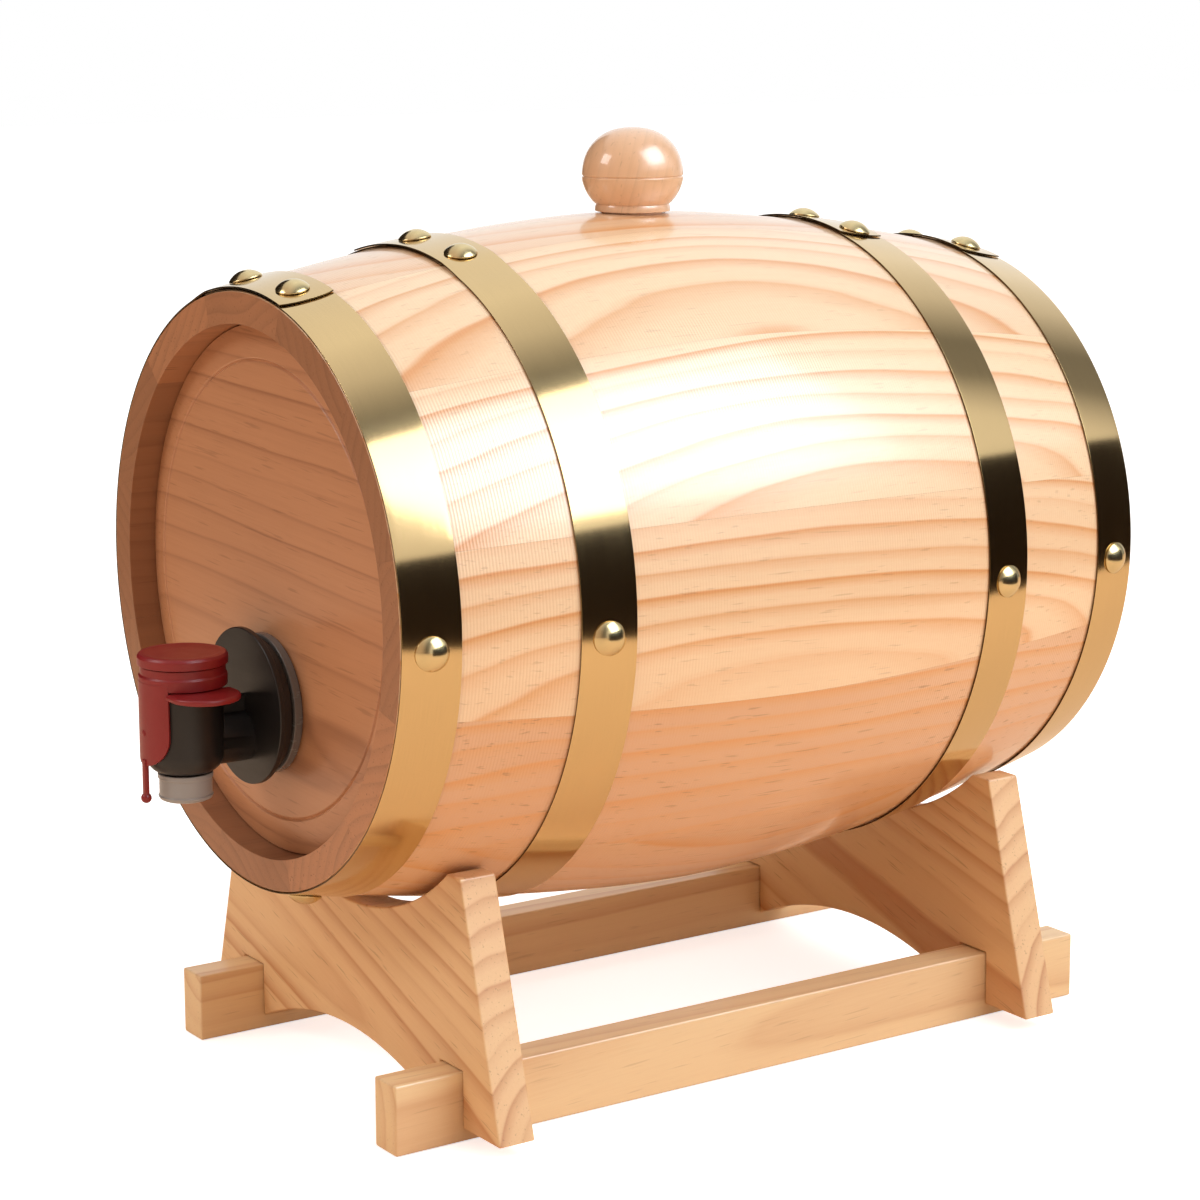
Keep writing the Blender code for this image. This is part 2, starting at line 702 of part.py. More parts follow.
def stand():
    """Both cradles and both rails, screwed together from below."""
    cradles = (
        (*cradle("front_cradle", FRONT_CRADLE_INNER, -1), "front"),
        (*cradle("rear_cradle", REAR_CRADLE_INNER, 1), "rear"),
    )
    rails = ((*rail("left_rail", -1), "left"), (*rail("right_rail", 1), "right"))
    for board, board_y, board_side in cradles:
        for bar, bar_x, bar_side in rails:
            place = Matrix.Translation((bar_x, board_y, 0))
            name = f"{board_side}_{bar_side}_screw"
            turned(name, screw_profile(), SCREW_STEEL, place, SCREW_SIDES)
            hole = turned(
                name + "_cutter",
                screw_profile(GAP, SCREW_HEAD_INSET + CUT_OVERRUN),
                None,
                place,
                SCREW_SIDES,
                CUTTERS,
            )
            cut(board, hole)
            cut(bar, hole)


# Tap
def gland():
    """Clear sleeve in the head's hole that the tap plugs into."""
    flange_back = GAP
    flange_front = flange_back + GLAND_FLANGE_THICKNESS
    inner_end = -HEAD_THICKNESS - GLAND_TUBE_OVERHANG
    edge = GLAND_FLANGE_THICKNESS / 4
    profile = [
        (GLAND_BORE_RADIUS, flange_front),
        (GLAND_FLANGE_RADIUS - edge, flange_front),
        (GLAND_FLANGE_RADIUS, flange_front - edge),
        (GLAND_FLANGE_RADIUS, flange_back),
        (GLAND_TUBE_RADIUS, flange_back),
        (GLAND_TUBE_RADIUS, inner_end),
        (GLAND_BORE_RADIUS, inner_end),
    ]
    turned("tap_gland", profile, GREY_PLASTIC, place_in_gland(), TAP_SIDES)


def spigot_profile():
    """(radius, along) outline of the tap's spigot, hub and flange, rearmost point last."""
    hub_back = GLAND_FLANGE_THICKNESS + 2 * GAP
    hub_front = hub_back + TAP_HUB_LENGTH
    flange_front = hub_front + TAP_FLANGE_THICKNESS
    spigot = GLAND_BORE_RADIUS - GAP
    end = -HEAD_THICKNESS - GLAND_TUBE_OVERHANG + SPIGOT_SETBACK
    ring_low = end + RING_GROOVE_SETBACK
    ring_high = ring_low + RING_GROOVE_WIDTH
    groove = TAP_HUB_RADIUS - TAP_HUB_GROOVE_DEPTH
    third = TAP_HUB_LENGTH / 3
    return [
        (0, flange_front),
        (TAP_FLANGE_RADIUS, flange_front),
        (TAP_FLANGE_RADIUS, hub_front),
        (groove, hub_front),
        (groove, hub_front - third),
        (TAP_HUB_RADIUS, hub_front - third),
        (TAP_HUB_RADIUS, hub_back),
        (spigot, hub_back),
        (spigot, ring_high),
        (spigot - RING_GROOVE_DEPTH, ring_high),
        (spigot - RING_GROOVE_DEPTH, ring_low),
        (spigot, ring_low),
        (spigot, end),
        (0, end),
    ]


def body_profile():
    """(radius, height) outline of the tap's upright body, from its open top to the spout's end."""
    drop = BODY_TAPER_TOP - BODY_TAPER_BOTTOM
    draw = BODY_RADIUS - BODY_TAPER_RADIUS
    taper = []
    for step in range(BODY_TAPER_STEPS + 1):
        turn = math.radians(90) * step / BODY_TAPER_STEPS
        radius = BODY_RADIUS - draw * (1 - math.cos(turn))
        taper.append((radius, BODY_TAPER_TOP - drop * math.sin(turn)))
    return [
        (0, BODY_TOP),
        (BODY_TOP_RADIUS, BODY_TOP),
        (BODY_TOP_RADIUS, BODY_SHOULDER),
        (BODY_RADIUS, BODY_SHOULDER),
        *taper,
        (NECK_RADIUS, BODY_TAPER_BOTTOM),
        (NECK_RADIUS, NECK_BOTTOM),
        (0, NECK_BOTTOM),
    ]


def chamber_profile():
    """(radius, height) outline of the hollow in the body, with the valve seat as its waist."""
    seat_bottom = SEAT_TOP - SEAT_THICKNESS
    return [
        (0, BODY_TOP + CUT_OVERRUN),
        (LEDGE_RADIUS, BODY_TOP + CUT_OVERRUN),
        (LEDGE_RADIUS, LEDGE_HEIGHT),
        (CHAMBER_RADIUS, LEDGE_HEIGHT),
        (CHAMBER_RADIUS, CHAMBER_FLOOR),
        (SEAT_APPROACH_RADIUS, SEAT_TOP),
        (SEAT_HOLE_RADIUS, SEAT_TOP),
        (SEAT_HOLE_RADIUS, seat_bottom),
        (NECK_BORE_RADIUS, seat_bottom),
        (NECK_BORE_RADIUS, NECK_BOTTOM - CUT_OVERRUN),
        (0, NECK_BOTTOM - CUT_OVERRUN),
    ]


def tap_body():
    """Black body: spigot and flange, arm and web, and the upright chamber with its spout."""
    flange_front = GLAND_FLANGE_THICKNESS + 2 * GAP + TAP_HUB_LENGTH + TAP_FLANGE_THICKNESS
    flange_middle = flange_front - TAP_FLANGE_THICKNESS / 2
    body = turned("tap_body", body_profile(), BLACK_PLASTIC, place_on_tap(), TAP_SIDES)
    spigot = turned("spigot_form", spigot_profile(), None, place_in_gland(), TAP_SIDES, CUTTERS)
    arm_place = place_in_gland() @ Matrix.Translation((0, -ARM_DROP, 0))
    arm = cylinder(
        "arm_form", ARM_RADIUS, flange_middle, TAP_REACH, arm_place, TAP_SIDES, collection=CUTTERS
    )
    web = box(
        "web_form",
        (-ARM_WEB_THICKNESS / 2, -ARM_DROP, flange_middle),
        (ARM_WEB_THICKNESS / 2, ARM_WEB_TOP, TAP_REACH),
        None,
        place_in_gland(),
        CUTTERS,
    )
    chamber = turned(
        "chamber_cutter", chamber_profile(), None, place_on_tap(), TAP_SIDES, CUTTERS
    )
    inlet = cylinder(
        "inlet_cutter", ARM_BORE_RADIUS, 0, TAP_REACH, arm_place, TAP_SIDES, collection=CUTTERS
    )
    end = -HEAD_THICKNESS - GLAND_TUBE_OVERHANG + SPIGOT_SETBACK
    spigot_bore = cylinder(
        "spigot_bore_cutter",
        SPIGOT_BORE_RADIUS,
        end - CUT_OVERRUN,
        TAP_HUB_LENGTH,
        place_in_gland(),
        TAP_SIDES,
        collection=CUTTERS,
    )
    for form in (spigot, arm, web):
        join(body, form)
    for cutter in (chamber, inlet, spigot_bore):
        cut(body, cutter)


def spigot_ring():
    """Rubber ring in the spigot's groove."""
    spigot = GLAND_BORE_RADIUS - GAP
    low = -HEAD_THICKNESS - GLAND_TUBE_OVERHANG + SPIGOT_SETBACK + RING_GROOVE_SETBACK + GAP
    high = low + RING_GROOVE_WIDTH - 2 * GAP
    inner = spigot - RING_GROOVE_DEPTH + GAP
    chamfer = (high - low) / 4
    profile = [
        (inner, high),
        (spigot - chamfer, high),
        (spigot, high - chamfer),
        (spigot, low + chamfer),
        (spigot - chamfer, low),
        (inner, low),
    ]
    turned("spigot_ring", profile, SEAL_RUBBER, place_in_gland(), TAP_SIDES)


def push_button():
    """Dished button whose skirt slides down over the collar, with a boss that takes the stem."""
    skirt = BUTTON_RADIUS - BUTTON_SKIRT_THICKNESS
    ceiling = BUTTON_TOP - BUTTON_PLATE_THICKNESS
    dish = BUTTON_TOP - BUTTON_DISH_DEPTH
    crown_radius = STEM_RADIUS + GAP
    boss_bottom = diaphragm_top() + GAP
    roof = dish - BUTTON_PLATE_THICKNESS / 2
    profile = [
        (0, dish),
        (BUTTON_DISH_RADIUS * 2 / 3, dish),
        (BUTTON_DISH_RADIUS, BUTTON_TOP),
        (BUTTON_RADIUS - BUTTON_EDGE, BUTTON_TOP),
        (BUTTON_RADIUS, BUTTON_TOP - BUTTON_EDGE),
        (BUTTON_RADIUS, BUTTON_BOTTOM),
        (skirt, BUTTON_BOTTOM),
        (skirt, ceiling),
        (BUTTON_DISH_RADIUS, ceiling),
        (BUTTON_DISH_RADIUS * 2 / 3, ceiling - BUTTON_DISH_DEPTH),
        (BUTTON_BOSS_RADIUS, ceiling - BUTTON_DISH_DEPTH),
        (BUTTON_BOSS_RADIUS, boss_bottom),
        (crown_radius, boss_bottom),
        (crown_radius, roof),
        (0, roof),
    ]
    turned("push_button", profile, RED_PLASTIC, place_on_tap(), TAP_SIDES)


def diaphragm_top():
    """Height of the diaphragm's crown, as high as the button leaves room for."""
    return BUTTON_BOTTOM - GAP


def return_diaphragm():
    """Springy dome on the chamber's ledge that lifts the button and shuts the valve."""
    top = diaphragm_top()
    hole = STEM_RADIUS + GAP
    outer = LEDGE_RADIUS - GAP
    inner = outer - DIAPHRAGM_RIM_WIDTH
    bottom = LEDGE_HEIGHT + GAP
    rim_top = bottom + DIAPHRAGM_RIM_HEIGHT
    profile = [
        (hole, top),
        (DIAPHRAGM_CROWN_RADIUS, top),
        (inner, rim_top),
        (outer, rim_top),
        (outer, bottom),
        (inner, bottom),
        (inner - DIAPHRAGM_WALL, rim_top - DIAPHRAGM_WALL),
        (DIAPHRAGM_CROWN_RADIUS - DIAPHRAGM_WALL / 2, top - DIAPHRAGM_WALL),
        (hole, top - DIAPHRAGM_WALL),
    ]
    turned("return_diaphragm", profile, SEAL_RUBBER, place_on_tap(), TAP_SIDES)


def valve():
    """Stem from the button down through the seat, with its disc and the seal under the seat."""
    seat_bottom = SEAT_TOP - SEAT_THICKNESS
    seal_top = seat_bottom - GAP
    seal_bottom = seal_top - VALVE_SEAL_THICKNESS
    disc_top = seal_bottom - GAP
    disc_bottom = disc_top - VALVE_DISC_THICKNESS
    dish = BUTTON_TOP - BUTTON_DISH_DEPTH
    stem_top = dish - BUTTON_PLATE_THICKNESS / 2 - GAP
    stem = [
        (0, stem_top),
        (STEM_RADIUS, stem_top),
        (STEM_RADIUS, disc_top),
        (VALVE_DISC_RADIUS, disc_top),
        (VALVE_DISC_RADIUS, disc_bottom),
        (0, disc_bottom),
    ]
    turned("valve_stem", stem, WHITE_PLASTIC, place_on_tap(), TAP_SIDES // 2)
    hole = STEM_RADIUS + GAP
    seal = [
        (hole, seal_top),
        (VALVE_DISC_RADIUS, seal_top),
        (VALVE_DISC_RADIUS, seal_bottom),
        (hole, seal_bottom),
    ]
    turned("valve_seal", seal, SEAL_RUBBER, place_on_tap(), TAP_SIDES // 2)


def grip_levels():
    bottom = BODY_SHOULDER + GAP
    return bottom, bottom + GRIP_THICKNESS


def finger_grip():
    """Ring under the collar with a round wing for a finger at one side of the tongue."""
    bottom, top = grip_levels()
    ring_radius = TONGUE_RADIUS - TONGUE_THICKNESS - GAP
    ring = [(0, top), (ring_radius, top), (ring_radius, bottom), (0, bottom)]
    grip = turned("finger_grip", ring, RED_PLASTIC, place_on_tap(), TAP_SIDES)
    middle = place_on_tap() @ Matrix.Translation((0, 0, (bottom + top) / 2))
    inside = TONGUE_RADIUS * math.sin(TONGUE_HALF_ANGLE) + GAP
    quarter = math.radians(90)
    round_end = arc_points(
        GRIP_WING_RADIUS, -quarter, quarter, TAP_SIDES // 2, (GRIP_WING_REACH, 0)
    )
    outline = [(inside, -GRIP_WING_RADIUS), *round_end, (inside, GRIP_WING_RADIUS)]
    join(grip, plate("wing_form", outline, top - bottom, None, middle, CUTTERS))
    hole = cylinder(
        "grip_hole_cutter",
        BODY_TOP_RADIUS + GAP,
        bottom - CUT_OVERRUN,
        top + CUT_OVERRUN,
        place_on_tap(),
        TAP_SIDES,
        collection=CUTTERS,
    )
    cut(grip, hole)


def tongue_form(top):
    """Front of a tube round the body, cut to straight sides and a half-round end."""
    half = TONGUE_RADIUS * math.sin(TONGUE_HALF_ANGLE)
    low = TONGUE_STRAIGHT_BOTTOM - half
    inner = TONGUE_RADIUS - TONGUE_THICKNESS
    tube = [(inner, top), (TONGUE_RADIUS, top), (TONGUE_RADIUS, low), (inner, low)]
    form = turned("tongue_form", tube, None, place_on_tap(), TAP_SIDES, CUTTERS)
    end = arc_points(half, 0, -math.pi, TAP_SIDES // 2, (0, TONGUE_STRAIGHT_BOTTOM))
    outline = [(half, top + CUT_OVERRUN), *end, (-half, top + CUT_OVERRUN)]
    depth = 2 * TONGUE_RADIUS
    upright = Matrix.Rotation(math.radians(90), 4, "X")
    ahead = place_on_tap() @ Matrix.Translation((0, -depth / 2, 0)) @ upright
    return boolean(form, plate("tongue_window", outline, depth, None, ahead, CUTTERS), "INTERSECT")


def tamper_collar():
    """Collar under the button, with the tongue that hangs in front and its pull strip."""
    bottom = grip_levels()[1] + GAP
    top = BUTTON_BOTTOM - GAP
    inner = BODY_TOP_RADIUS + GAP
    step = BUTTON_BOTTOM - BUTTON_TRAVEL - GAP
    profile = [
        (inner, top),
        (COLLAR_TOP_RADIUS, top),
        (COLLAR_TOP_RADIUS, step),
        (COLLAR_BOTTOM_RADIUS, step - (COLLAR_BOTTOM_RADIUS - COLLAR_TOP_RADIUS)),
        (COLLAR_BOTTOM_RADIUS, bottom),
        (inner, bottom),
    ]
    collar = turned("tamper_collar", profile, RED_PLASTIC, place_on_tap(), TAP_SIDES)
    tongue_bottom = TONGUE_STRAIGHT_BOTTOM - TONGUE_RADIUS * math.sin(TONGUE_HALF_ANGLE)
    half_width, half_depth = STRIP_WIDTH / 2, STRIP_THICKNESS / 2
    strip = box(
        "strip_form",
        (-half_width, -STRIP_RADIUS - half_depth, STRIP_BALL_HEIGHT),
        (half_width, -STRIP_RADIUS + half_depth, tongue_bottom + STRIP_WIDTH),
        None,
        place_on_tap(),
        CUTTERS,
    )
    ball_shape = bmesh.new()
    bmesh.ops.create_uvsphere(
        ball_shape,
        u_segments=2 * STRIP_BALL_RINGS,
        v_segments=STRIP_BALL_RINGS,
        radius=STRIP_BALL_RADIUS,
    )
    ball_place = place_on_tap() @ Matrix.Translation((0, -STRIP_RADIUS, STRIP_BALL_HEIGHT))
    ball = add_object("ball_form", mesh_from("ball_form", ball_shape), None, ball_place, CUTTERS)
    for form in (tongue_form((bottom + step) / 2), strip, ball):
        join(collar, form)


def spout_cap():
    """Milky cup under the spout, held by a plug in the spout's bore."""
    floor_top = NECK_BOTTOM - GAP
    floor_bottom = floor_top - CAP_WALL
    inner = CAP_RADIUS - CAP_WALL
    plug = NECK_BORE_RADIUS - GAP
    plug_top = floor_top + CAP_PLUG_LENGTH
    profile = [
        (0, plug_top),
        (plug, plug_top),
        (plug, floor_top),
        (inner, floor_top),
        (inner, CAP_TOP),
        (CAP_RADIUS, CAP_TOP),
        (CAP_RADIUS, floor_bottom + CAP_EDGE),
        (CAP_RADIUS - CAP_EDGE / 3, floor_bottom + CAP_EDGE / 3),
        (CAP_RADIUS - CAP_EDGE, floor_bottom),
        (0, floor_bottom),
    ]
    turned("spout_cap", profile, CLEAR_PLASTIC, place_on_tap(), TAP_SIDES)


# Foil liner
def foil_liner():
    """Empty pouch: a neck round the gland's tube that widens and flattens on to the floor."""
    neck_radius = GLAND_TUBE_RADIUS + GAP + LINER_NECK_WALL
    floor_radius = BORE_RADIUS - LINER_FLOOR_GAP
    front = -HEAD_THICKNESS - GAP
    rings = []

    def ring(back, flatness, width_share, height_share):
        points = []
        for i in range(LINER_AROUND):
            turn = FULL_TURN * i / LINER_AROUND
            round_x = neck_radius * math.cos(turn)
            round_z = neck_radius * math.sin(turn)
            half_width = LINER_HALF_WIDTH * width_share
            flat_x = half_width * math.cos(turn)
            bulge = LINER_THICKNESS * height_share * (1 - abs(math.cos(turn)) ** 3) / 2
            floor = TAP_DROP - math.sqrt(floor_radius**2 - flat_x**2)
            flat_z = floor + LINER_FLOOR_GAP + bulge + bulge * math.sin(turn)
            x = round_x + (flat_x - round_x) * flatness
            z = round_z + (flat_z - round_z) * flatness
            points.append((x, z, front - back))
        rings.append(points)

    ring(0, 0, 1, 1)
    for step in range(LINER_NOSE_STEPS + 1):
        share = step / LINER_NOSE_STEPS
        smooth = share * share * (3 - 2 * share)
        ring(LINER_NECK_LENGTH + LINER_NOSE_LENGTH * share, smooth, 1, 1)
    start = LINER_NECK_LENGTH + LINER_NOSE_LENGTH
    flat = LINER_LENGTH - start - LINER_TAIL_LENGTH
    for step in range(1, LINER_FLAT_STEPS + 1):
        ring(start + flat * step / LINER_FLAT_STEPS, 1, 1, 1)
    ring(LINER_LENGTH, 1, 1 - LINER_TAIL_LENGTH / LINER_HALF_WIDTH, 1 / 2)
    pouch = lofted("foil_liner", rings, LINER_FOIL, place_in_gland())
    bore = cylinder(
        "liner_neck_cutter",
        GLAND_TUBE_RADIUS + GAP,
        front - LINER_NECK_LENGTH,
        front + CUT_OVERRUN,
        place_in_gland(),
        TAP_SIDES,
        collection=CUTTERS,
    )
    cut(pouch, bore)


def main():
    staves = [stave(index) for index in range(STAVE_COUNT)]
    heads()
    chime_hoop = HALF_LENGTH - CHIME_HOOP_INSET - HOOP_WIDTH / 2
    hoop("front_chime_hoop", chime_hoop, True, staves)
    hoop("front_quarter_hoop", QUARTER_HOOP_PLACE, False, staves)
    hoop("rear_quarter_hoop", -QUARTER_HOOP_PLACE, True, staves)
    hoop("rear_chime_hoop", -chime_hoop, True, staves)
    bung(staves[STAVE_COUNT // 4])
    stand()
    gland()
    tap_body()
    spigot_ring()
    push_button()
    return_diaphragm()
    valve()
    finger_grip()
    tamper_collar()
    spout_cap()
    foil_liner()


main()
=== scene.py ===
"""Looks of a small wine barrel on a two-cradle stand, with a push tap, laid out as an add-on."""

import math
import random

import bmesh
import bpy
import numpy as np
from bpy.props import FloatProperty, FloatVectorProperty, PointerProperty
from bpy.types import Operator, Panel, PropertyGroup
from mathutils import Matrix, Vector, noise


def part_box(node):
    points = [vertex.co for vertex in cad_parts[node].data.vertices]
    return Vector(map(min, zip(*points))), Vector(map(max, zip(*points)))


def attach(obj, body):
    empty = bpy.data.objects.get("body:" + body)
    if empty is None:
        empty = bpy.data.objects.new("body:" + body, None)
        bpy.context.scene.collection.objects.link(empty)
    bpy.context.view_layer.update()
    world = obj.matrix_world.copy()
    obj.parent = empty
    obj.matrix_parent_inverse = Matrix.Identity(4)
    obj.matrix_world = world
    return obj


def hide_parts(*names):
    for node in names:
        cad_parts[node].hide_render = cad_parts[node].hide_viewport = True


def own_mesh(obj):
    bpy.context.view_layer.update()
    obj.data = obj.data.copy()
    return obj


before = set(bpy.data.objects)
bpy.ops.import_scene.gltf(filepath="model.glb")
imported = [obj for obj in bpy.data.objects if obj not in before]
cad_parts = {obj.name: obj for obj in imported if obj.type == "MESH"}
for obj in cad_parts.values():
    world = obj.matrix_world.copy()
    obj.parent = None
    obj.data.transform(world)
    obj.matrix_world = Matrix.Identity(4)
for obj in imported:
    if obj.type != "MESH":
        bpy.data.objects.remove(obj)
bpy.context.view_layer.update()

bl_info = {
    "name": "Wine barrel on a stand",
    "version": (1, 0, 0),
    "blender": (4, 5, 0),
    "location": "3D View > Sidebar > Wine Barrel",
    "description": "Builds a small turned wine barrel with its hoops, bung, stand and push tap",
    "category": "Object",
}

FULL_TURN = 2 * math.pi
QUARTER = math.pi / 2
MERGE = 0.000005
AXIS_Z = Vector((0, 0, 1))
STAVE_COUNT = 12
STAVE_TURN = FULL_TURN / STAVE_COUNT


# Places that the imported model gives
def middle_of(node):
    low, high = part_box(node)
    return (low + high) / 2


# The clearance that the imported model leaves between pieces
GAP = 0.0003

BARREL_MIDDLE = Vector((0, middle_of("stave_01").y, middle_of("rear_head").z))
TAP_MIDDLE = Vector((0, middle_of("spout_cap").y, middle_of("tap_gland").z))
HEAD_FACE_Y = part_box("front_head")[0].y
FACE_FRONT = Matrix.Rotation(QUARTER, 4, "X")
IN_BARREL = Matrix.Translation(BARREL_MIDDLE) @ FACE_FRONT
ON_TAP = Matrix.Translation(TAP_MIDDLE)
IN_GLAND = Matrix.Translation((0, HEAD_FACE_Y, TAP_MIDDLE.z)) @ FACE_FRONT


# Property helpers
def size(label, text, default):
    return FloatProperty(name=label, description=text, default=default, precision=5, unit="LENGTH")


def turn(label, text, degrees):
    return FloatProperty(
        name=label, description=text, default=math.radians(degrees), subtype="ANGLE"
    )


def tone(label, text, default):
    return FloatVectorProperty(
        name=label, description=text, default=default, min=0, max=1, size=3, subtype="COLOR"
    )


class BarrelSizes(PropertyGroup):
    """Sizes of the staves, heads, hoops, nails and bung"""

    length: size("Length", "From chime to chime", 0.290)
    chime: size("Chime radius", "Outside radius at the ends", 0.0957)
    belly: size("Belly radius", "Outside radius in the middle", 0.1144)
    bulge: FloatProperty(name="Bulge", description="Power of the outside curve", default=1.7)
    bore: size("Bore radius", "Inside radius", 0.0855)
    joint: size("Stave joint", "Hair line between two glued staves", 0.00004)
    arris: size("Chime arris", "Rounding of the rim's edges", 0.0006)
    croze_setback: size("Croze setback", "From the chime to the groove for the head", 0.0105)
    croze_width: size("Croze width", "Width of that groove", 0.0050)
    croze_depth: size("Croze depth", "Depth of that groove", 0.0030)
    recess: size("Head recess", "From the chime to the head's face", 0.0072)
    head: size("Head thickness", "Thickness of a head", 0.0120)
    head_bevel: size("Head bevel", "Fall of the head's sloping rim", 0.0022)
    panel: size("Panel radius", "Radius of the groove round the head's panel", 0.0737)
    groove: size("Panel groove", "Width of that groove", 0.0012)
    groove_depth: size("Groove depth", "Depth of that groove", 0.0009)
    hoop_width: size("Hoop width", "Width of the brass strap", 0.0185)
    hoop: size("Hoop thickness", "Thickness of the brass strap", 0.0005)
    hoop_gap: size("Hoop clearance", "Between the strap and the staves", 0.00025)
    quarter: size("Quarter hoop", "From the chime to the quarter hoop's middle", 0.0658)
    lap_high: turn("Lap, high end", "Upper end of the strap's lap", 105)
    lap_low: turn("Lap, low end", "Lower end of the strap's lap", 75)
    nail: size("Nail radius", "Radius of a nail's head", 0.0054)
    nail_height: size("Nail height", "Height of a nail's head", 0.0029)
    nail_shank: size("Nail shank", "Radius of a nail's shank", 0.0009)
    nail_length: size("Nail length", "Length of a nail's shank", 0.0085)
    bung_offset: size("Bung offset", "From the middle of the barrel to the bung", 0.0035)
    bung_hole: size("Bung hole radius", "Radius of the hole in the top stave", 0.0109)
    bung_shank: size("Bung shank", "Length of the tapered shank", 0.0220)
    bung_taper: size("Bung taper", "How much narrower the shank's end is", 0.0010)
    bung_foot: size("Bung foot radius", "Radius of the foot on the stave", 0.0127)
    bung_foot_height: size("Bung foot height", "Height of that foot", 0.0024)
    bung_waist: size("Bung waist radius", "Radius of the narrowest place", 0.0123)
    bung_line: size("Bung line height", "Height of the line round the knob", 0.0118)
    bung_knob: size("Bung knob radius", "Radius of the knob", 0.0171)
    bung_height: size("Bung height", "Height of the knob above the stave", 0.0280)


class StandSizes(PropertyGroup):
    """Sizes of the cradles, rails and screws"""

    board: size("Board thickness", "Thickness of a cradle board", 0.0131)
    saddle: size("Saddle depth", "Depth of the hollow under the barrel", 0.0239)
    arch: size("Arch height", "Height of the arch between the rails", 0.0137)
    foot: size("Cradle foot height", "From the table to the board", 0.0045)
    horn: size("Horn height", "From the table to the board's top corners", 0.0855)
    arris: size("Arris", "Rounding of the boards' edges", 0.0007)
    screw: size("Screw radius", "Radius of a screw's shank", 0.0016)
    screw_head: size("Screw head radius", "Radius of a screw's head", 0.0034)


class TapSizes(PropertyGroup):
    """Sizes of the tap, as radii round its upright axis and heights from the axis it turns on"""

    reach: size("Reach", "From the head's face to the tap's upright axis", 0.0306)
    drop: size("Arm drop", "From the turning axis down to the arm", 0.0094)
    body: size("Body radius", "Radius of the upright body", 0.0125)
    spigot_bore: size("Spigot bore", "Radius inside the spigot", 0.0132)
    button: size("Button radius", "Radius of the push button", 0.0143)
    button_top: size("Button top", "Height of the button's rim", 0.0204)
    button_bottom: size("Button bottom", "Height of the button's skirt", 0.0168)
    travel: size("Button travel", "How far the button goes down", 0.0026)
    wing: size("Wing radius", "Radius of the finger wing", 0.0113)
    wing_reach: size("Wing reach", "From the axis to the middle of the wing's end", 0.0148)
    tongue: size("Tongue radius", "Outside radius of the tongue", 0.0141)
    cap: size("Cap radius", "Radius of the spout's cap", 0.00875)


class Colours(PropertyGroup):
    """Colours of the finishes, in linear light"""

    stave: tone("Stave wood", "Pale early wood of the staves", (0.92, 0.69, 0.445))
    stave_line: tone("Stave grain", "Late wood lines of the staves", (0.74, 0.345, 0.125))
    # Stave blush is partly redder wood; on the lower staves it is partly painted shade of the barrel's
    # lower side
    stave_blush: tone("Stave blush", "Redder wood of some staves", (0.70, 0.37, 0.195))
    chime: tone("Chime wood", "Stained end grain of the rim", (0.33, 0.145, 0.066))
    head: tone("Head wood", "Stained wood of the heads", (0.56, 0.265, 0.13))
    head_line: tone("Head grain", "Late wood lines of the heads", (0.22, 0.075, 0.032))
    stand: tone("Stand wood", "Pale wood of the stand", (0.85, 0.625, 0.36))
    stand_line: tone("Stand grain", "Late wood lines of the stand", (0.56, 0.25, 0.105))
    knob: tone("Knob wood", "Close-grained wood of the bung", (0.80, 0.50, 0.30))
    brass: tone("Strap brass", "Brushed brass of the hoops", (0.70, 0.51, 0.255))
    # Strap edge: a dark tone on each hoop's rim, a painted shadow of the gap along the hoop's edges
    edge: tone("Strap edge shadow", "Painted shadow along the hoops' edges", (0.10, 0.065, 0.03))
    nail: tone("Nail brass", "Polished brass of the nails", (0.78, 0.63, 0.34))
    red: tone("Red plastic", "Button, collar and finger grip", (0.23, 0.009, 0.011))
    black: tone("Black plastic", "Body of the tap", (0.008, 0.007, 0.007))


class StageSettings(PropertyGroup):
    """Camera and light"""

    eye: FloatVectorProperty(
        name="Eye", description="Place of the camera", default=(0.88387, -0.58371, 0.36352)
    )
    aim: FloatVectorProperty(
        name="Aim", description="Point that the camera looks at", default=(0, 0.01945, 0.1679)
    )
    roll: turn("Roll", "Turn of the camera about its own axis", -0.08)
    lens: FloatProperty(name="Lens", description="Focal length in millimetres", default=95.13)
    shift_x: FloatProperty(name="Shift X", description="Sideways shift", default=-0.0203)
    shift_y: FloatProperty(name="Shift Y", description="Upward shift", default=-0.0449)
    sky: FloatProperty(name="Sky", description="Strength of the light all round", default=1.12)
    key: FloatProperty(name="Key", description="Watts of the softbox on the wood", default=13.0)
    shine: FloatProperty(name="Shine", description="Watts of its reflection", default=62.0)
    fill: FloatProperty(name="Fill", description="Watts of the small softbox in front", default=5.0)
    glow: FloatProperty(name="Floor glow", description="Light of the floor itself", default=0.66)
    bounce: tone("Bounce", "Colour of the floor in the object's light", (0.95, 0.73, 0.54))
    dusk: tone("Dusk", "Colour of the light from the front", (0.60, 0.44, 0.34))


# Shader writing: arithmetic on sockets becomes nodes
class Amount:
    """A socket that Python's arithmetic can be used on, each step adding a Math node."""

    def __init__(self, finish, socket):
        self.finish = finish
        self.socket = socket

    def math(self, operation, *others):
        inputs = {place: item for place, item in enumerate((self, *others))}
        return self.finish.node("ShaderNodeMath", {"operation": operation}, inputs)

    def flipped(self, operation, other):
        return self.finish.node("ShaderNodeMath", {"operation": operation}, {0: other, 1: self})

    def __add__(self, other):
        return self.math("ADD", other)

    def __sub__(self, other):
        return self.math("SUBTRACT", other)

    def __rsub__(self, other):
        return self.flipped("SUBTRACT", other)

    def __mul__(self, other):
        return self.math("MULTIPLY", other)

    def __truediv__(self, other):
        return self.math("DIVIDE", other)

    def __rtruediv__(self, other):
        return self.flipped("DIVIDE", other)

    def __pow__(self, other):
        return self.math("POWER", other)

    __radd__ = __add__
    __rmul__ = __mul__


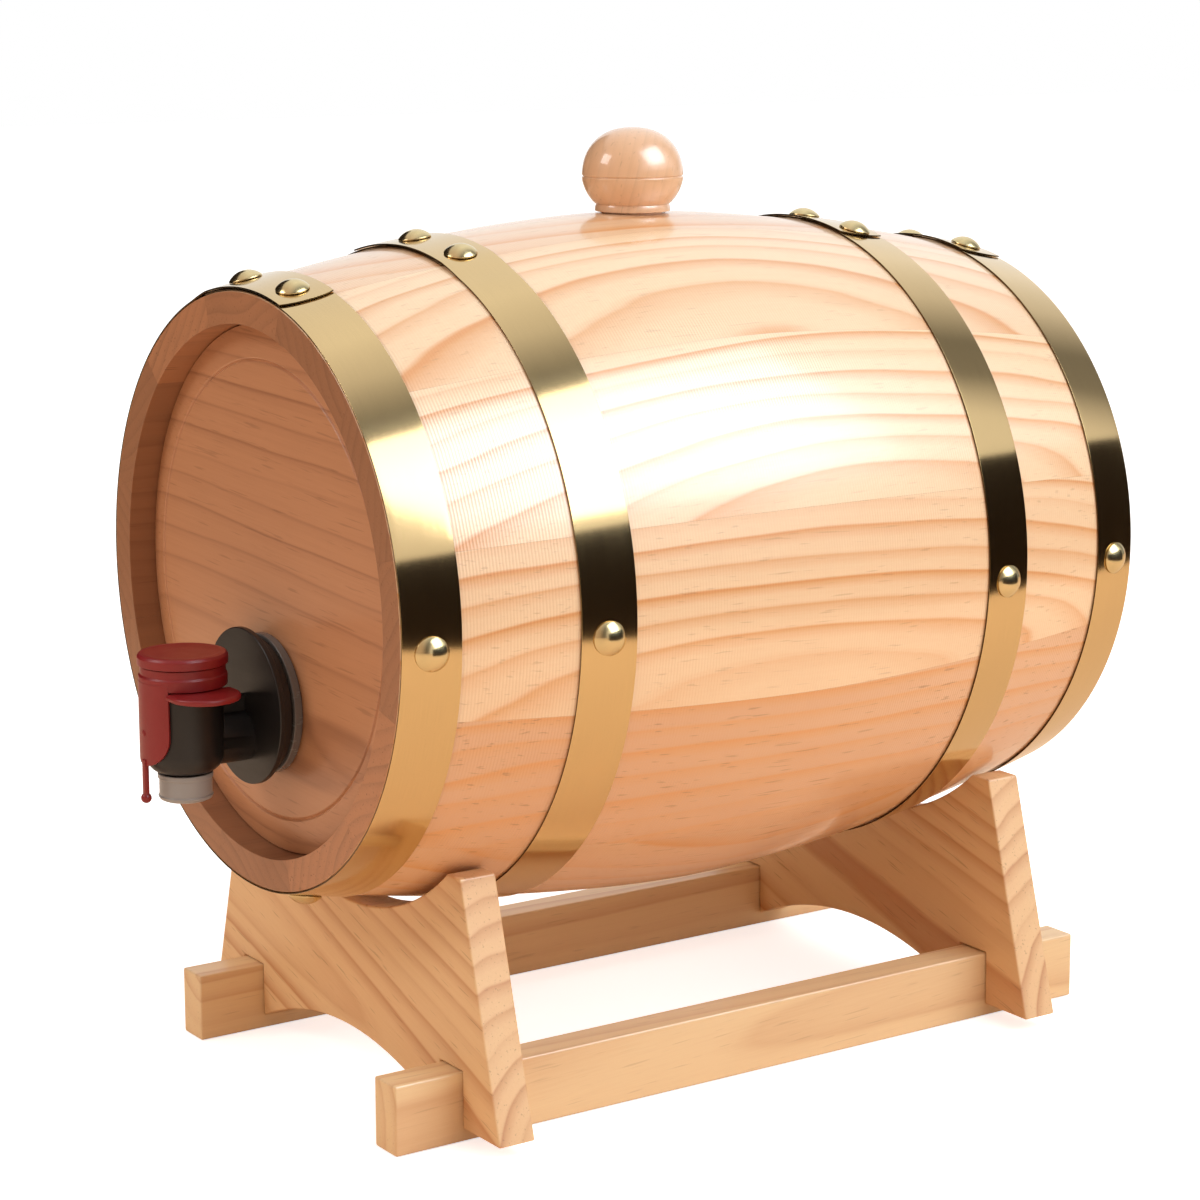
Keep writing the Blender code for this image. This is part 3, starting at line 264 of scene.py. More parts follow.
class Web:
    """A node tree being written."""

    def __init__(self, tree):
        self.tree = tree

    def node(self, kind, settings, inputs, output=0):
        """One node: its settings first, then the values or links of its sockets."""
        made = self.tree.nodes.new(kind)
        for label, value in settings.items():
            if label == "stops":
                self.set_stops(made.color_ramp, value)
            else:
                setattr(made, label, value)
        for label, value in inputs.items():
            if isinstance(value, Amount):
                self.tree.links.new(value.socket, made.inputs[label])
            else:
                made.inputs[label].default_value = value
        return Amount(self, made.outputs[output])

    @staticmethod
    def set_stops(ramp, stops):
        while len(ramp.elements) < len(stops):
            ramp.elements.new(1.0)
        for element, (place, level) in zip(ramp.elements, stops):
            element.position = place
            element.color = (level, level, level, 1.0)

    def curve(self, value, *stops):
        """A value read through a ramp of (place, level) stops."""
        return self.node("ShaderNodeValToRGB", {"stops": stops}, {"Fac": value})

    def mix(self, factor, first, second):
        """Colour between two colours."""
        colours = {}
        for place, colour in ((6, first), (7, second)):
            colours[place] = colour if isinstance(colour, Amount) else (*colour, 1.0)
        settings = {"data_type": "RGBA", "clamp_factor": True}
        return self.node("ShaderNodeMix", settings, {0: factor, **colours}, 2)

    def scaled(self, vector, scale):
        """Vector multiplied part by part."""
        return self.node("ShaderNodeVectorMath", {"operation": "MULTIPLY"}, {0: vector, 1: scale})

    def noise(self, vector, scale, detail=2.0, roughness=0.5, output=0):
        inputs = {"Vector": vector, "Scale": scale, "Detail": detail, "Roughness": roughness}
        return self.node("ShaderNodeTexNoise", {}, inputs, output)

    def parts(self, vector):
        """The three parts of a vector."""
        split = self.node("ShaderNodeSeparateXYZ", {}, {0: vector})
        outputs = split.socket.node.outputs
        return [Amount(self, outputs[place]) for place in range(3)]

    def vector(self, x, y, z):
        return self.node("ShaderNodeCombineXYZ", {}, {0: x, 1: y, 2: z})

    def place(self):
        return self.node("ShaderNodeTexCoord", {}, {}, "Object")

    def attribute(self, name, output="Vector"):
        return self.node("ShaderNodeAttribute", {"attribute_name": name}, {}, output)


class Finish(Web):
    """A material being written, on a Principled shader."""

    def __init__(self, name, roughness, **fixed):
        self.material = bpy.data.materials.new(name)
        self.material.use_nodes = True
        super().__init__(self.material.node_tree)
        self.shader = self.tree.nodes["Principled BSDF"]
        self.shader.inputs["Roughness"].default_value = roughness
        for label, value in fixed.items():
            self.shader.inputs[label.replace("_", " ")].default_value = value

    def feed(self, label, value):
        self.tree.links.new(value.socket, self.shader.inputs[label])

    def bump(self, height, strength, distance):
        inputs = {"Height": height, "Strength": strength, "Distance": distance}
        self.feed("Normal", self.node("ShaderNodeBump", {}, inputs))


# Wood: growth rings round a log's heart, read from each piece's own place in its log
SOFT_LINES = ((0.0, 0.20), (0.08, 0.0), (0.45, 0.08), (0.78, 0.62), (0.92, 1.0), (1.0, 0.20))
THIN_LINES = ((0.0, 0.30), (0.05, 0.02), (0.55, 0.05), (0.86, 0.30), (0.96, 1.0), (1.0, 0.30))


def wood(name, early, late, blush, ring, depth, roughness, lines=SOFT_LINES, ribs=0.0, **fixed):
    """Lacquered softwood with the ring spacing given, and lathe ribs where wanted."""
    finish = Finish(name, roughness, **fixed)
    log = finish.attribute("log")
    tint = finish.attribute("tint", "Fac")
    slow = finish.scaled(log, (1.0, 1.0, 0.16))
    sway_x = finish.noise(slow, 13.0, 2.0) - 0.5
    sway_y = finish.noise(finish.scaled(slow, (1.0, 1.0, -1.0)), 17.0, 2.0) - 0.5
    x, y, _ = finish.parts(log)
    across = x + sway_x * 0.016
    up = y + sway_y * 0.016
    radius = (across * across + up * up) ** 0.5
    drift = finish.noise(slow, 42.0, 2.0) - 0.5
    count = radius / ring + drift * 0.7
    phase = count.math("FRACT")
    luck = finish.node(
        "ShaderNodeTexWhiteNoise", {"noise_dimensions": "1D"}, {"W": count.math("FLOOR")}, "Value"
    )
    line = finish.curve(phase, *lines)
    strength = finish.noise(finish.scaled(log, (1.0, 1.0, 0.10)), 21.0, 1.0)
    grain = line * (0.30 + luck * 0.70) * (0.45 + strength) * finish.attribute("bold", "Fac") * depth
    fibre = finish.noise(finish.scaled(log, (1.0, 1.0, 0.018)), 1500.0, 2.0, 0.6) - 0.5
    cloud = finish.noise(finish.scaled(log, (1.0, 1.0, 0.35)), 26.0, 3.0) - 0.5
    base = finish.mix(tint + cloud * 0.5, early, blush)
    shade = grain + fibre * 0.22
    fleck = finish.noise(finish.scaled(log, (1.0, 1.0, 0.05)), 1100.0, 1.0)
    canal = finish.curve(fleck, (0.66, 0.0), (0.74, 1.0)) * (0.18 + tint * 0.35)
    colour = finish.mix(shade, base, late)
    dark = tuple(part * 0.45 for part in late)
    colour = finish.mix(canal, colour, dark)
    finish.feed("Base Color", colour)
    height = fibre * 0.5 - canal * 0.6 + grain * 0.25
    if ribs:
        along = finish.parts(finish.place())[1]
        wobble = finish.noise(finish.place(), 220.0, 2.0) - 0.5
        cut = (along * (FULL_TURN / 0.00105) + wobble * 2.2).math("SINE")
        height = height + cut * ribs
        chatter = (cut * 0.5 + 0.5) * (finish.noise(finish.place(), 700.0, 1.0))
        finish.feed("Base Color", finish.mix(chatter * 0.10, colour, late))
    finish.feed("Roughness", roughness + fibre * 0.12 + canal * 0.15)
    finish.bump(height, 0.35, 0.00012)
    return finish.material


def strap_brass(name, colour):
    """Brass strap brushed along its length; the dark finish of its rim is a separate painted shadow."""
    finish = Finish(name, 0.24, Metallic=1.0)
    x, y, z = finish.parts(finish.place())
    angle = (z - BARREL_MIDDLE.z).math("ARCTAN2", x)
    strokes = finish.noise(finish.vector(y * 9000.0, angle * 7.0, 0.0), 1.0, 3.0, 0.7)
    broad = finish.noise(finish.vector(y * 900.0, angle * 2.5, 0.0), 1.0, 2.0)
    cloud = finish.noise(finish.place(), 18.0, 3.0)
    dull = tuple(part * 0.80 for part in colour)
    light = tuple(min(1.0, part * 1.16) for part in colour)
    finish.feed("Base Color", finish.mix(strokes * 0.55 + cloud * 0.35, dull, light))
    finish.feed("Roughness", 0.04 + strokes * 0.09 + broad * 0.03 + cloud * 0.03)
    finish.bump(strokes + broad * 0.5, 0.08, 0.00003)
    return finish.material


def nail_brass(name, colour):
    """Polished brass with faint tarnish."""
    finish = Finish(name, 0.15, Metallic=1.0)
    cloud = finish.noise(finish.place(), 260.0, 3.0)
    dull = tuple(part * 0.72 for part in colour)
    finish.feed("Base Color", finish.mix(cloud * 0.8, colour, dull))
    finish.feed("Roughness", 0.12 + cloud * 0.14)
    finish.bump(finish.noise(finish.place(), 1400.0, 2.0), 0.06, 0.00005)
    return finish.material


def moulded(name, colour, roughness, mottle=0.12, **fixed):
    """Moulded plastic or rubber: faint mottling, fine surface grain and handling marks."""
    finish = Finish(name, roughness, **fixed)
    cloud = finish.noise(finish.place(), 160.0, 3.0)
    grain = finish.noise(finish.place(), 3600.0, 2.0)
    rub = finish.noise(finish.scaled(finish.place(), (1.0, 1.0, 4.0)), 90.0, 4.0, 0.65)
    lighter = tuple(min(1.0, part * (1 + 3 * mottle) + 0.004) for part in colour)
    finish.feed("Base Color", finish.mix(cloud * 0.7, colour, lighter))
    finish.feed("Roughness", roughness - 0.07 + rub * 0.16)
    finish.bump(grain + rub * 0.6, 0.10, 0.00004)
    return finish.material


def foil(name):
    """Metallised film with the creases of a folded pouch."""
    finish = Finish(name, 0.25, Metallic=0.9)
    creases = finish.node(
        "ShaderNodeTexVoronoi",
        {"feature": "DISTANCE_TO_EDGE"},
        {"Vector": finish.place(), "Scale": 60.0},
    )
    fold = finish.curve(creases, (0.0, 1.0), (0.10, 0.0))
    cloud = finish.noise(finish.place(), 45.0, 4.0)
    finish.feed("Base Color", finish.mix(cloud, (0.55, 0.56, 0.58), (0.82, 0.82, 0.83)))
    finish.feed("Roughness", 0.16 + fold * 0.25 + cloud * 0.1)
    finish.bump(fold + cloud, 0.6, 0.0008)
    return finish.material


def zinc(name):
    """Plated screw steel."""
    finish = Finish(name, 0.35, Metallic=1.0)
    cloud = finish.noise(finish.place(), 700.0, 3.0)
    finish.feed("Base Color", finish.mix(cloud, (0.50, 0.50, 0.49), (0.70, 0.70, 0.67)))
    finish.feed("Roughness", 0.25 + cloud * 0.25)
    return finish.material


FINISHES = {}


def dimmed(colour, level):
    return tuple(part * level for part in colour)


def make_finishes(colours):
    """Every material of the object, by the name it is asked for."""
    stave = dict(early=colours.stave, late=colours.stave_line, blush=colours.stave_blush)
    coat = dict(Coat_Weight=0.9, Coat_Roughness=0.13)
    FINISHES["stave"] = wood(
        "stave_wood", **stave, ring=0.0068, depth=1.15, roughness=0.40, ribs=0.6, **coat
    )
    FINISHES["chime"] = wood(
        "chime_wood", colours.chime, dimmed(colours.chime, 0.55), dimmed(colours.chime, 1.5),
        ring=0.0045, depth=0.5, roughness=0.5, Coat_Weight=0.2, Coat_Roughness=0.2,
    )
    FINISHES["head"] = wood(
        "head_wood", colours.head, colours.head_line, dimmed(colours.head, 0.72),
        ring=0.0080, depth=0.62, roughness=0.42, lines=THIN_LINES, Coat_Weight=0.3, Coat_Roughness=0.15,
    )
    FINISHES["stand"] = wood(
        "stand_wood", colours.stand, colours.stand_line, (0.78, 0.47, 0.22),
        ring=0.0072, depth=1.0, roughness=0.5, Coat_Weight=0.2, Coat_Roughness=0.25,
    )
    FINISHES["knob"] = wood(
        "knob_wood", colours.knob, dimmed(colours.knob, 0.72), dimmed(colours.knob, 0.9),
        ring=0.0030, depth=0.35, roughness=0.3, Coat_Weight=1.0, Coat_Roughness=0.04,
    )
    FINISHES["strap"] = strap_brass("strap_brass", colours.brass)
    # The hoops' rims get this dark brass, a painted shadow along their edges
    FINISHES["edge"] = nail_brass("strap_edge_shadow", colours.edge)
    FINISHES["nail"] = nail_brass("nail_brass", colours.nail)
    FINISHES["screw"] = zinc("screw_steel")
    FINISHES["black"] = moulded("black_plastic", colours.black, 0.36)
    FINISHES["red"] = moulded("red_plastic", colours.red, 0.34, 0.05)
    FINISHES["cap"] = moulded("cap_plastic", (0.42, 0.41, 0.41), 0.30, 0.04, Transmission_Weight=0.25)
    FINISHES["gland"] = moulded("gland_plastic", (0.13, 0.12, 0.115), 0.25, 0.1, Coat_Weight=0.3)
    FINISHES["white"] = moulded("white_plastic", (0.80, 0.80, 0.76), 0.40, 0.03)
    FINISHES["rubber"] = moulded("seal_rubber", (0.035, 0.034, 0.033), 0.65)
    FINISHES["foil"] = foil("liner_foil")


# Shape helpers
def kind_of(items, kind):
    return [item for item in items if isinstance(item, kind)]


def wire(shape, points, closed=False):
    """Vertices and edges along (radius, height) points in the XZ plane."""
    verts = [shape.verts.new((radius, 0, height)) for radius, height in points]
    pairs = list(zip(verts, verts[1:]))
    if closed:
        pairs.append((verts[-1], verts[0]))
    return verts, [shape.edges.new(pair) for pair in pairs]


def tidied(shape):
    """Doubles merged and faces turned outwards."""
    bmesh.ops.remove_doubles(shape, verts=shape.verts, dist=MERGE)
    bmesh.ops.recalc_face_normals(shape, faces=shape.faces)
    return shape


def lathe(points, steps, closed=False):
    """Turned shape from (radius, height) points."""
    shape = bmesh.new()
    verts, edges = wire(shape, points, closed)
    bmesh.ops.spin(
        shape,
        geom=verts + edges,
        cent=(0, 0, 0),
        axis=AXIS_Z,
        angle=FULL_TURN,
        steps=steps,
        use_merge=True,
    )
    return tidied(shape)


def soften(shape, width, segments=2, over=28, chosen=None):
    """Rounds the edges that turn by more than so many degrees."""
    limit = math.radians(over)
    sharp = [
        edge
        for edge in shape.edges
        if edge.is_manifold and edge.calc_face_angle(0) > limit and (chosen is None or chosen(edge))
    ]
    bmesh.ops.bevel(
        shape,
        geom=sharp,
        offset=width,
        offset_type="OFFSET",
        affect="EDGES",
        segments=segments,
        profile=0.5,
        material=-1,
        clamp_overlap=True,
    )
    return shape


def swing(shape, vert, centre, angle, steps, axis=(0, 0, 1)):
    """Arc of edges that one vertex draws round a centre, and its last vertex."""
    made = bmesh.ops.spin(
        shape, geom=[vert], cent=centre, axis=axis, angle=angle, steps=steps, use_merge=False
    )
    return kind_of(made["geom_last"], bmesh.types.BMVert)[0]


def straight(shape, vert, place):
    """Edge from a vertex to a place, and the vertex there."""
    end = shape.verts.new(place)
    shape.edges.new((vert, end))
    return end


def filled(shape, thickness):
    """The closed outline in the XY plane made a board of this thickness about that plane."""
    bmesh.ops.remove_doubles(shape, verts=shape.verts, dist=MERGE)
    bmesh.ops.contextual_create(shape, geom=shape.edges[:])
    bmesh.ops.translate(shape, verts=shape.verts, vec=(0, 0, -thickness / 2))
    base = shape.faces[:]
    grown = bmesh.ops.extrude_face_region(
        shape, geom=base + shape.edges[:], use_keep_orig=True
    )
    lifted = kind_of(grown["geom"], bmesh.types.BMVert)
    bmesh.ops.translate(shape, verts=lifted, vec=(0, 0, thickness))
    bmesh.ops.recalc_face_normals(shape, faces=shape.faces)
    return shape


def block(low, high):
    """Box between two corners."""
    low, high = Vector(low), Vector(high)
    shape = bmesh.new()
    stretch = Matrix.Diagonal((*(high - low), 1))
    bmesh.ops.create_cube(shape, size=1, matrix=Matrix.Translation((low + high) / 2) @ stretch)
    return shape


def rod(radius, bottom, top, steps):
    return lathe([(0, top), (radius, top), (radius, bottom), (0, bottom)], steps)


def moved(shape, place):
    bmesh.ops.transform(shape, matrix=place, verts=shape.verts)
    return shape


def carved(shape, tool, operation="DIFFERENCE"):
    """A shape with a second one cut out of it, joined to it, or kept where both are."""
    pair = []
    for source in (shape, tool):
        mesh = bpy.data.meshes.new("carving")
        source.to_mesh(mesh)
        source.free()
        obj = bpy.data.objects.new("carving", mesh)
        bpy.context.scene.collection.objects.link(obj)
        pair.append(obj)
    step = pair[0].modifiers.new("carve", "BOOLEAN")
    step.operation = operation
    step.solver = "EXACT"
    step.object = pair[1]
    view = bpy.context.evaluated_depsgraph_get()
    result = bpy.data.meshes.new_from_object(pair[0].evaluated_get(view))
    made = bmesh.new()
    made.from_mesh(result)
    for obj in pair:
        mesh = obj.data
        bpy.data.objects.remove(obj)
        bpy.data.meshes.remove(mesh)
    bpy.data.meshes.remove(result)
    return tidied(made)


def add_piece(
    name, shape, finishes, body, nodes=None, place=None, log=None, tint=0.0, bold=1.0
):
    """Object of a finished shape, riding on its body and standing for its nodes."""
    if place is not None:
        moved(shape, place)
    mesh = bpy.data.meshes.new(name)
    shape.to_mesh(mesh)
    shape.free()
    for key in finishes:
        mesh.materials.append(FINISHES[key])
    mesh.shade_smooth()
    mesh.set_sharp_from_angle(angle=math.radians(50))
    if log is not None:
        spots = np.empty(len(mesh.vertices) * 3, np.float32)
        mesh.vertices.foreach_get("co", spots)
        spots = spots.reshape(-1, 3) @ np.array(log.to_3x3()).T + np.array(log.translation)
        layer = mesh.attributes.new("log", "FLOAT_VECTOR", "POINT")
        layer.data.foreach_set("vector", spots.astype(np.float32).ravel())
        for label, level in (("tint", tint), ("bold", bold)):
            layer = mesh.attributes.new(label, "FLOAT", "POINT")
            layer.data.foreach_set("value", np.full(len(mesh.vertices), level, np.float32))
    obj = bpy.data.objects.new(name, mesh)
    bpy.context.scene.collection.objects.link(obj)
    even = obj.modifiers.new("even_normals", "WEIGHTED_NORMAL")
    even.keep_sharp = True
    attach(obj, body)
    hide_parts(*(nodes or (name,)))
    return obj


def log_frame(heart, along, out):
    """From the row frame to a log whose heart is at a place and runs along a direction."""
    along = Vector(along).normalized()
    side = Vector(out).cross(along).normalized()
    up = along.cross(side)
    turned = Matrix((side, up, along)).to_4x4()
    return turned @ Matrix.Translation(-Vector(heart))


# Barrel
def barrel_radius(sizes, along):
    part = abs(along) / (sizes.length / 2)
    return sizes.belly - (sizes.belly - sizes.chime) * part**sizes.bulge


def barrel_slope(sizes, along):
    half = sizes.length / 2
    part = abs(along) / half
    fall = (sizes.belly - sizes.chime) / half * sizes.bulge * part ** (sizes.bulge - 1)
    return math.copysign(math.atan(fall), along)


def stave_outline(sizes):
    """(radius, along) outline of a stave's side, with both crozes."""
    half = sizes.length / 2
    facets = 56
    points = []
    for i in range(facets + 1):
        along = half * math.cos(math.pi * i / facets)
        points.append((barrel_radius(sizes, along), along))
    croze_out = half - sizes.croze_setback
    croze_in = croze_out - sizes.croze_width
    deep = sizes.bore + sizes.croze_depth
    points.append((sizes.bore, -half))
    for near, far in ((-croze_out, -croze_in), (croze_in, croze_out)):
        points += [(sizes.bore, near), (deep, near), (deep, far), (sizes.bore, far)]
    points.append((sizes.bore, half))
    return points


# Columns: heart side, heart depth, tint. The heavy tint of the lower staves 11 and 12 is partly redder
# heartwood and partly painted shade for the darker, more orange lower side.
STAVE_HEARTS = {
    1: (-0.088, 0.066, 0.18),
    2: (-0.078, 0.070, 0.0),
    3: (-0.062, 0.085, 0.05),
    4: (0.050, 0.085, 0.35),
    12: (-0.080, 0.060, 0.85),
    11: (0.075, 0.075, 0.75),
}


def stave_log(number, angle, sizes):
    """Log of a stave, with its heart outside the barrel and to one side, and its tint."""
    draw = random.Random(number)
    spare_side = draw.choice((-1, 1)) * draw.uniform(0.04, 0.08)
    spare = (spare_side, draw.uniform(0.06, 0.09), draw.uniform(0, 0.7))
    side, depth, tint = STAVE_HEARTS.get(number, spare)
    out = Vector((math.cos(angle), 0, math.sin(angle)))
    around = Vector((-math.sin(angle), 0, math.cos(angle)))
    middle = BARREL_MIDDLE + out * sizes.belly
    lean = draw.uniform(-0.05, 0.05)
    heart = middle + around * side + out * depth + Vector((0, draw.uniform(-0.4, 0.4), 0))
    return log_frame(heart, Vector((0, 1, 0)) + around * lean, out), tint


class WINEBARREL_OT_staves(Operator):
    """Turn the twelve staves"""

    bl_idname = "winebarrel.staves"
    bl_label = "Staves"

    def execute(self, context):
        sizes = context.scene.barrel_sizes
        half = sizes.length / 2
        joint = sizes.joint / sizes.belly
        outline = stave_outline(sizes)

        def at_rim(edge):
            flat = abs(edge.verts[0].co.z - edge.verts[1].co.z) < MERGE
            return flat and all(abs(vert.co.z) > half - MERGE for vert in edge.verts) and len({
                round(vert.co.xy.length, 5) for vert in edge.verts
            }) == 1

        for index in range(STAVE_COUNT):
            angle = index * STAVE_TURN
            shape = bmesh.new()
            verts, edges = wire(shape, outline, closed=True)
            face = shape.faces.new(verts)
            start = Matrix.Rotation(angle - STAVE_TURN / 2 + joint / 2, 3, "Z")
            bmesh.ops.rotate(shape, verts=verts, cent=(0, 0, 0), matrix=start)
            bmesh.ops.spin(
                shape,
                geom=[face, *edges, *verts],
                cent=(0, 0, 0),
                axis=AXIS_Z,
                angle=STAVE_TURN - joint,
                steps=14,
            )
            tidied(shape)
            soften(shape, sizes.arris, 2, 28, at_rim)
            for face in shape.faces:
                spot = face.calc_center_median()
                skin = barrel_radius(sizes, min(half, abs(spot.z))) - 0.0010
                face.material_index = 0 if spot.xy.length > skin and abs(face.normal.z) < 0.75 else 1
            number = index + 1
            if number == 4:
                hole = rod(sizes.bung_hole, sizes.bore - 0.004, sizes.belly + 0.004, 48)
                upright = Matrix.Rotation(-QUARTER, 4, "X")
                upright = Matrix.Translation((0, 0, -sizes.bung_offset)) @ upright
                shape = carved(shape, moved(hole, upright))
            log, tint = stave_log(number, angle, sizes)
            name = f"stave_{number:02d}"
            add_piece(
                name + "_turned", shape, ("stave", "chime"), "barrel", (name,),
                IN_BARREL, log, tint,
            )
        return {"FINISHED"}


class WINEBARREL_OT_heads(Operator):
    """Turn both heads, the front one with its hole for the gland"""

    bl_idname = "winebarrel.heads"
    bl_label = "Heads"

    def execute(self, context):
        sizes = context.scene.barrel_sizes
        face = sizes.length / 2 - sizes.recess
        back = face - sizes.head
        edge = sizes.bore - GAP
        tongue = edge + sizes.croze_depth
        outer = sizes.length / 2 - sizes.croze_setback - GAP
        inner = outer - sizes.croze_width + 2 * GAP
        half_groove = sizes.groove / 2
        profile = [
            (0, face),
            (sizes.panel - half_groove, face),
            (sizes.panel, face - sizes.groove_depth),
            (sizes.panel + half_groove, face),
            (edge, face - sizes.head_bevel),
            (edge, outer),
            (tongue, outer),
            (tongue, inner),
            (edge, inner),
            (edge, back),
            (0, back),
        ]
        for name, facing, heart in (
            ("front_head", 0, (0.2, -0.055, -0.062)),
            ("rear_head", math.pi, (-0.3, 0.060, 0.050)),
        ):
            shape = lathe(profile, 144)
            soften(shape, 0.0003, 2, 25)
            place = IN_BARREL @ Matrix.Rotation(facing, 4, "X")
            if name == "front_head":
                hole = rod(0.0203, face - sizes.head - 0.002, face + 0.002, 64)
                drop = BARREL_MIDDLE.z - TAP_MIDDLE.z
                shape = carved(shape, moved(hole, Matrix.Translation((0, -drop, 0))))
            middle = BARREL_MIDDLE + Vector((0, -face if not facing else face, 0))
            log = log_frame(middle + Vector(heart), (1, 0, -0.045), (0, -1, 0))
            add_piece(
                name + "_turned", shape, ("head",), "barrel", (name,), place, log, 0.15
            )
        return {"FINISHED"}


HOOPS = (
    ("front_chime", 1, False, True),
    ("front_quarter", 1, True, False),
    ("rear_quarter", -1, True, True),
    ("rear_chime", -1, False, True),
)
CHIME_NAIL_ANGLES = (98, 80, -2, -80, 178)
QUARTER_NAIL_ANGLES = (92, 77, -2, -80, 178)


def hoop_place(sizes, side, quarter):
    """Distance of a hoop's middle along the barrel."""
    half = sizes.length / 2
    if quarter:
        return side * (half - sizes.quarter)
    return side * (half - 0.0002 - sizes.hoop_width / 2)


class WINEBARREL_OT_hoops(Operator):
    """Wind the four brass hoops, each with its end lapped over its start"""

    bl_idname = "winebarrel.hoops"
    bl_label = "Hoops"

    def execute(self, context):
        sizes = context.scene.barrel_sizes
        step_turn = math.radians(1.5)
        steps = round((FULL_TURN + sizes.lap_high - sizes.lap_low) / step_turn)
        once = round(FULL_TURN / step_turn)
        for name, side, quarter, lap_down in HOOPS:
            middle = hoop_place(sizes, side, quarter)
            direction = -1 if lap_down else 1
            start = sizes.lap_high if lap_down else sizes.lap_low
            ends = (middle - sizes.hoop_width / 2, middle + sizes.hoop_width / 2)
            shape = bmesh.new()
            places = [ends[0] + (ends[1] - ends[0]) * i / 8 for i in range(9)]
            points = [(barrel_radius(sizes, z) + sizes.hoop_gap, z) for z in places]
            verts, edges = wire(shape, points)
            turned = Matrix.Rotation(start, 3, "Z")
            bmesh.ops.rotate(shape, verts=verts, cent=(0, 0, 0), matrix=turned)
            advance = Matrix.Rotation(direction * step_turn, 3, "Z")
            lift = sizes.hoop + sizes.hoop_gap
            for step in range(1, steps + 1):
                grown = bmesh.ops.extrude_edge_only(shape, edges=edges)["geom"]
                verts = kind_of(grown, bmesh.types.BMVert)
                edges = [
                    edge
                    for edge in kind_of(grown, bmesh.types.BMEdge)
                    if all(vert in verts for vert in edge.verts)
                ]
                bmesh.ops.rotate(shape, verts=verts, cent=(0, 0, 0), matrix=advance)
                if once - 4 < step <= once:
                    for vert in verts:
                        out = Vector((vert.co.x, vert.co.y, 0)).normalized()
                        vert.co += out * lift / 4
            for vert in verts:
                across = (vert.co.z - middle) / (sizes.hoop_width / 2)
                ahead = math.radians(0.9) * direction * (1 - abs(across) ** 2.5)
                vert.co.rotate(Matrix.Rotation(ahead, 3, "Z"))
            first = next(iter(shape.faces))
            first.normal_update()
            out = first.calc_center_median()
            out.z = 0
            bmesh.ops.recalc_face_normals(shape, faces=shape.faces)
            if first.normal.dot(out) < 0:
                bmesh.ops.reverse_faces(shape, faces=shape.faces)
            obj = add_piece(
                name + "_hoop_wound", shape, ("strap", "edge"), "barrel",
                (name + "_hoop",), IN_BARREL,
            )
            obj.modifiers.clear()
            wall = obj.modifiers.new("thickness", "SOLIDIFY")
            wall.thickness = sizes.hoop
            wall.offset = 1.0
            wall.use_even_offset = True
            # The rim faces of the strap take the dark finish, a painted edge shadow
            wall.material_offset_rim = 1
            rounded = obj.modifiers.new("rounded_edges", "BEVEL")
            rounded.width = 0.00012
            rounded.segments = 2
            rounded.limit_method = "ANGLE"
            even = obj.modifiers.new("even_normals", "WEIGHTED_NORMAL")
            even.keep_sharp = True
        return {"FINISHED"}


class WINEBARREL_OT_nails(Operator):
    """Drive the domed nails through the hoops"""

    bl_idname = "winebarrel.nails"
    bl_label = "Hoop nails"

    def execute(self, context):
        sizes = context.scene.barrel_sizes
        dome = sizes.nail_height - 0.0004
        dome_radius = (sizes.nail**2 + dome**2) / (2 * dome)
        sweep = math.asin(sizes.nail / dome_radius)
        profile = []
        for step in range(9):
            at = sweep * step / 8
            fall = dome_radius * (1 - math.cos(at))
            profile.append((dome_radius * math.sin(at), sizes.nail_height - fall))
        profile += [
            (sizes.nail, 0),
            (sizes.nail_shank, 0),
            (sizes.nail_shank, 0.0012 - sizes.nail_length),
            (0, -sizes.nail_length),
        ]
        for name, side, quarter, _ in HOOPS:
            middle = hoop_place(sizes, side, quarter)
            angles = QUARTER_NAIL_ANGLES if quarter else CHIME_NAIL_ANGLES
            for number, degrees in enumerate(angles, 1):
                angle = math.radians(degrees)
                layers = 2 if sizes.lap_low <= angle <= sizes.lap_high else 1
                lift = layers * (sizes.hoop + sizes.hoop_gap) + 0.00005
                outward = Matrix.Rotation(angle, 4, "Z") @ Matrix.Translation(
                    (barrel_radius(sizes, middle), 0, middle)
                )
                upright = Matrix.Rotation(QUARTER - barrel_slope(sizes, middle), 4, "Y")
                place = IN_BARREL @ outward @ upright @ Matrix.Translation((0, 0, lift))
                shape = soften(lathe(profile, 36), 0.00012, 2, 30)
                node = f"{name}_nail_{number}"
                add_piece(node + "_domed", shape, ("nail",), "barrel", (node,), place)
        return {"FINISHED"}


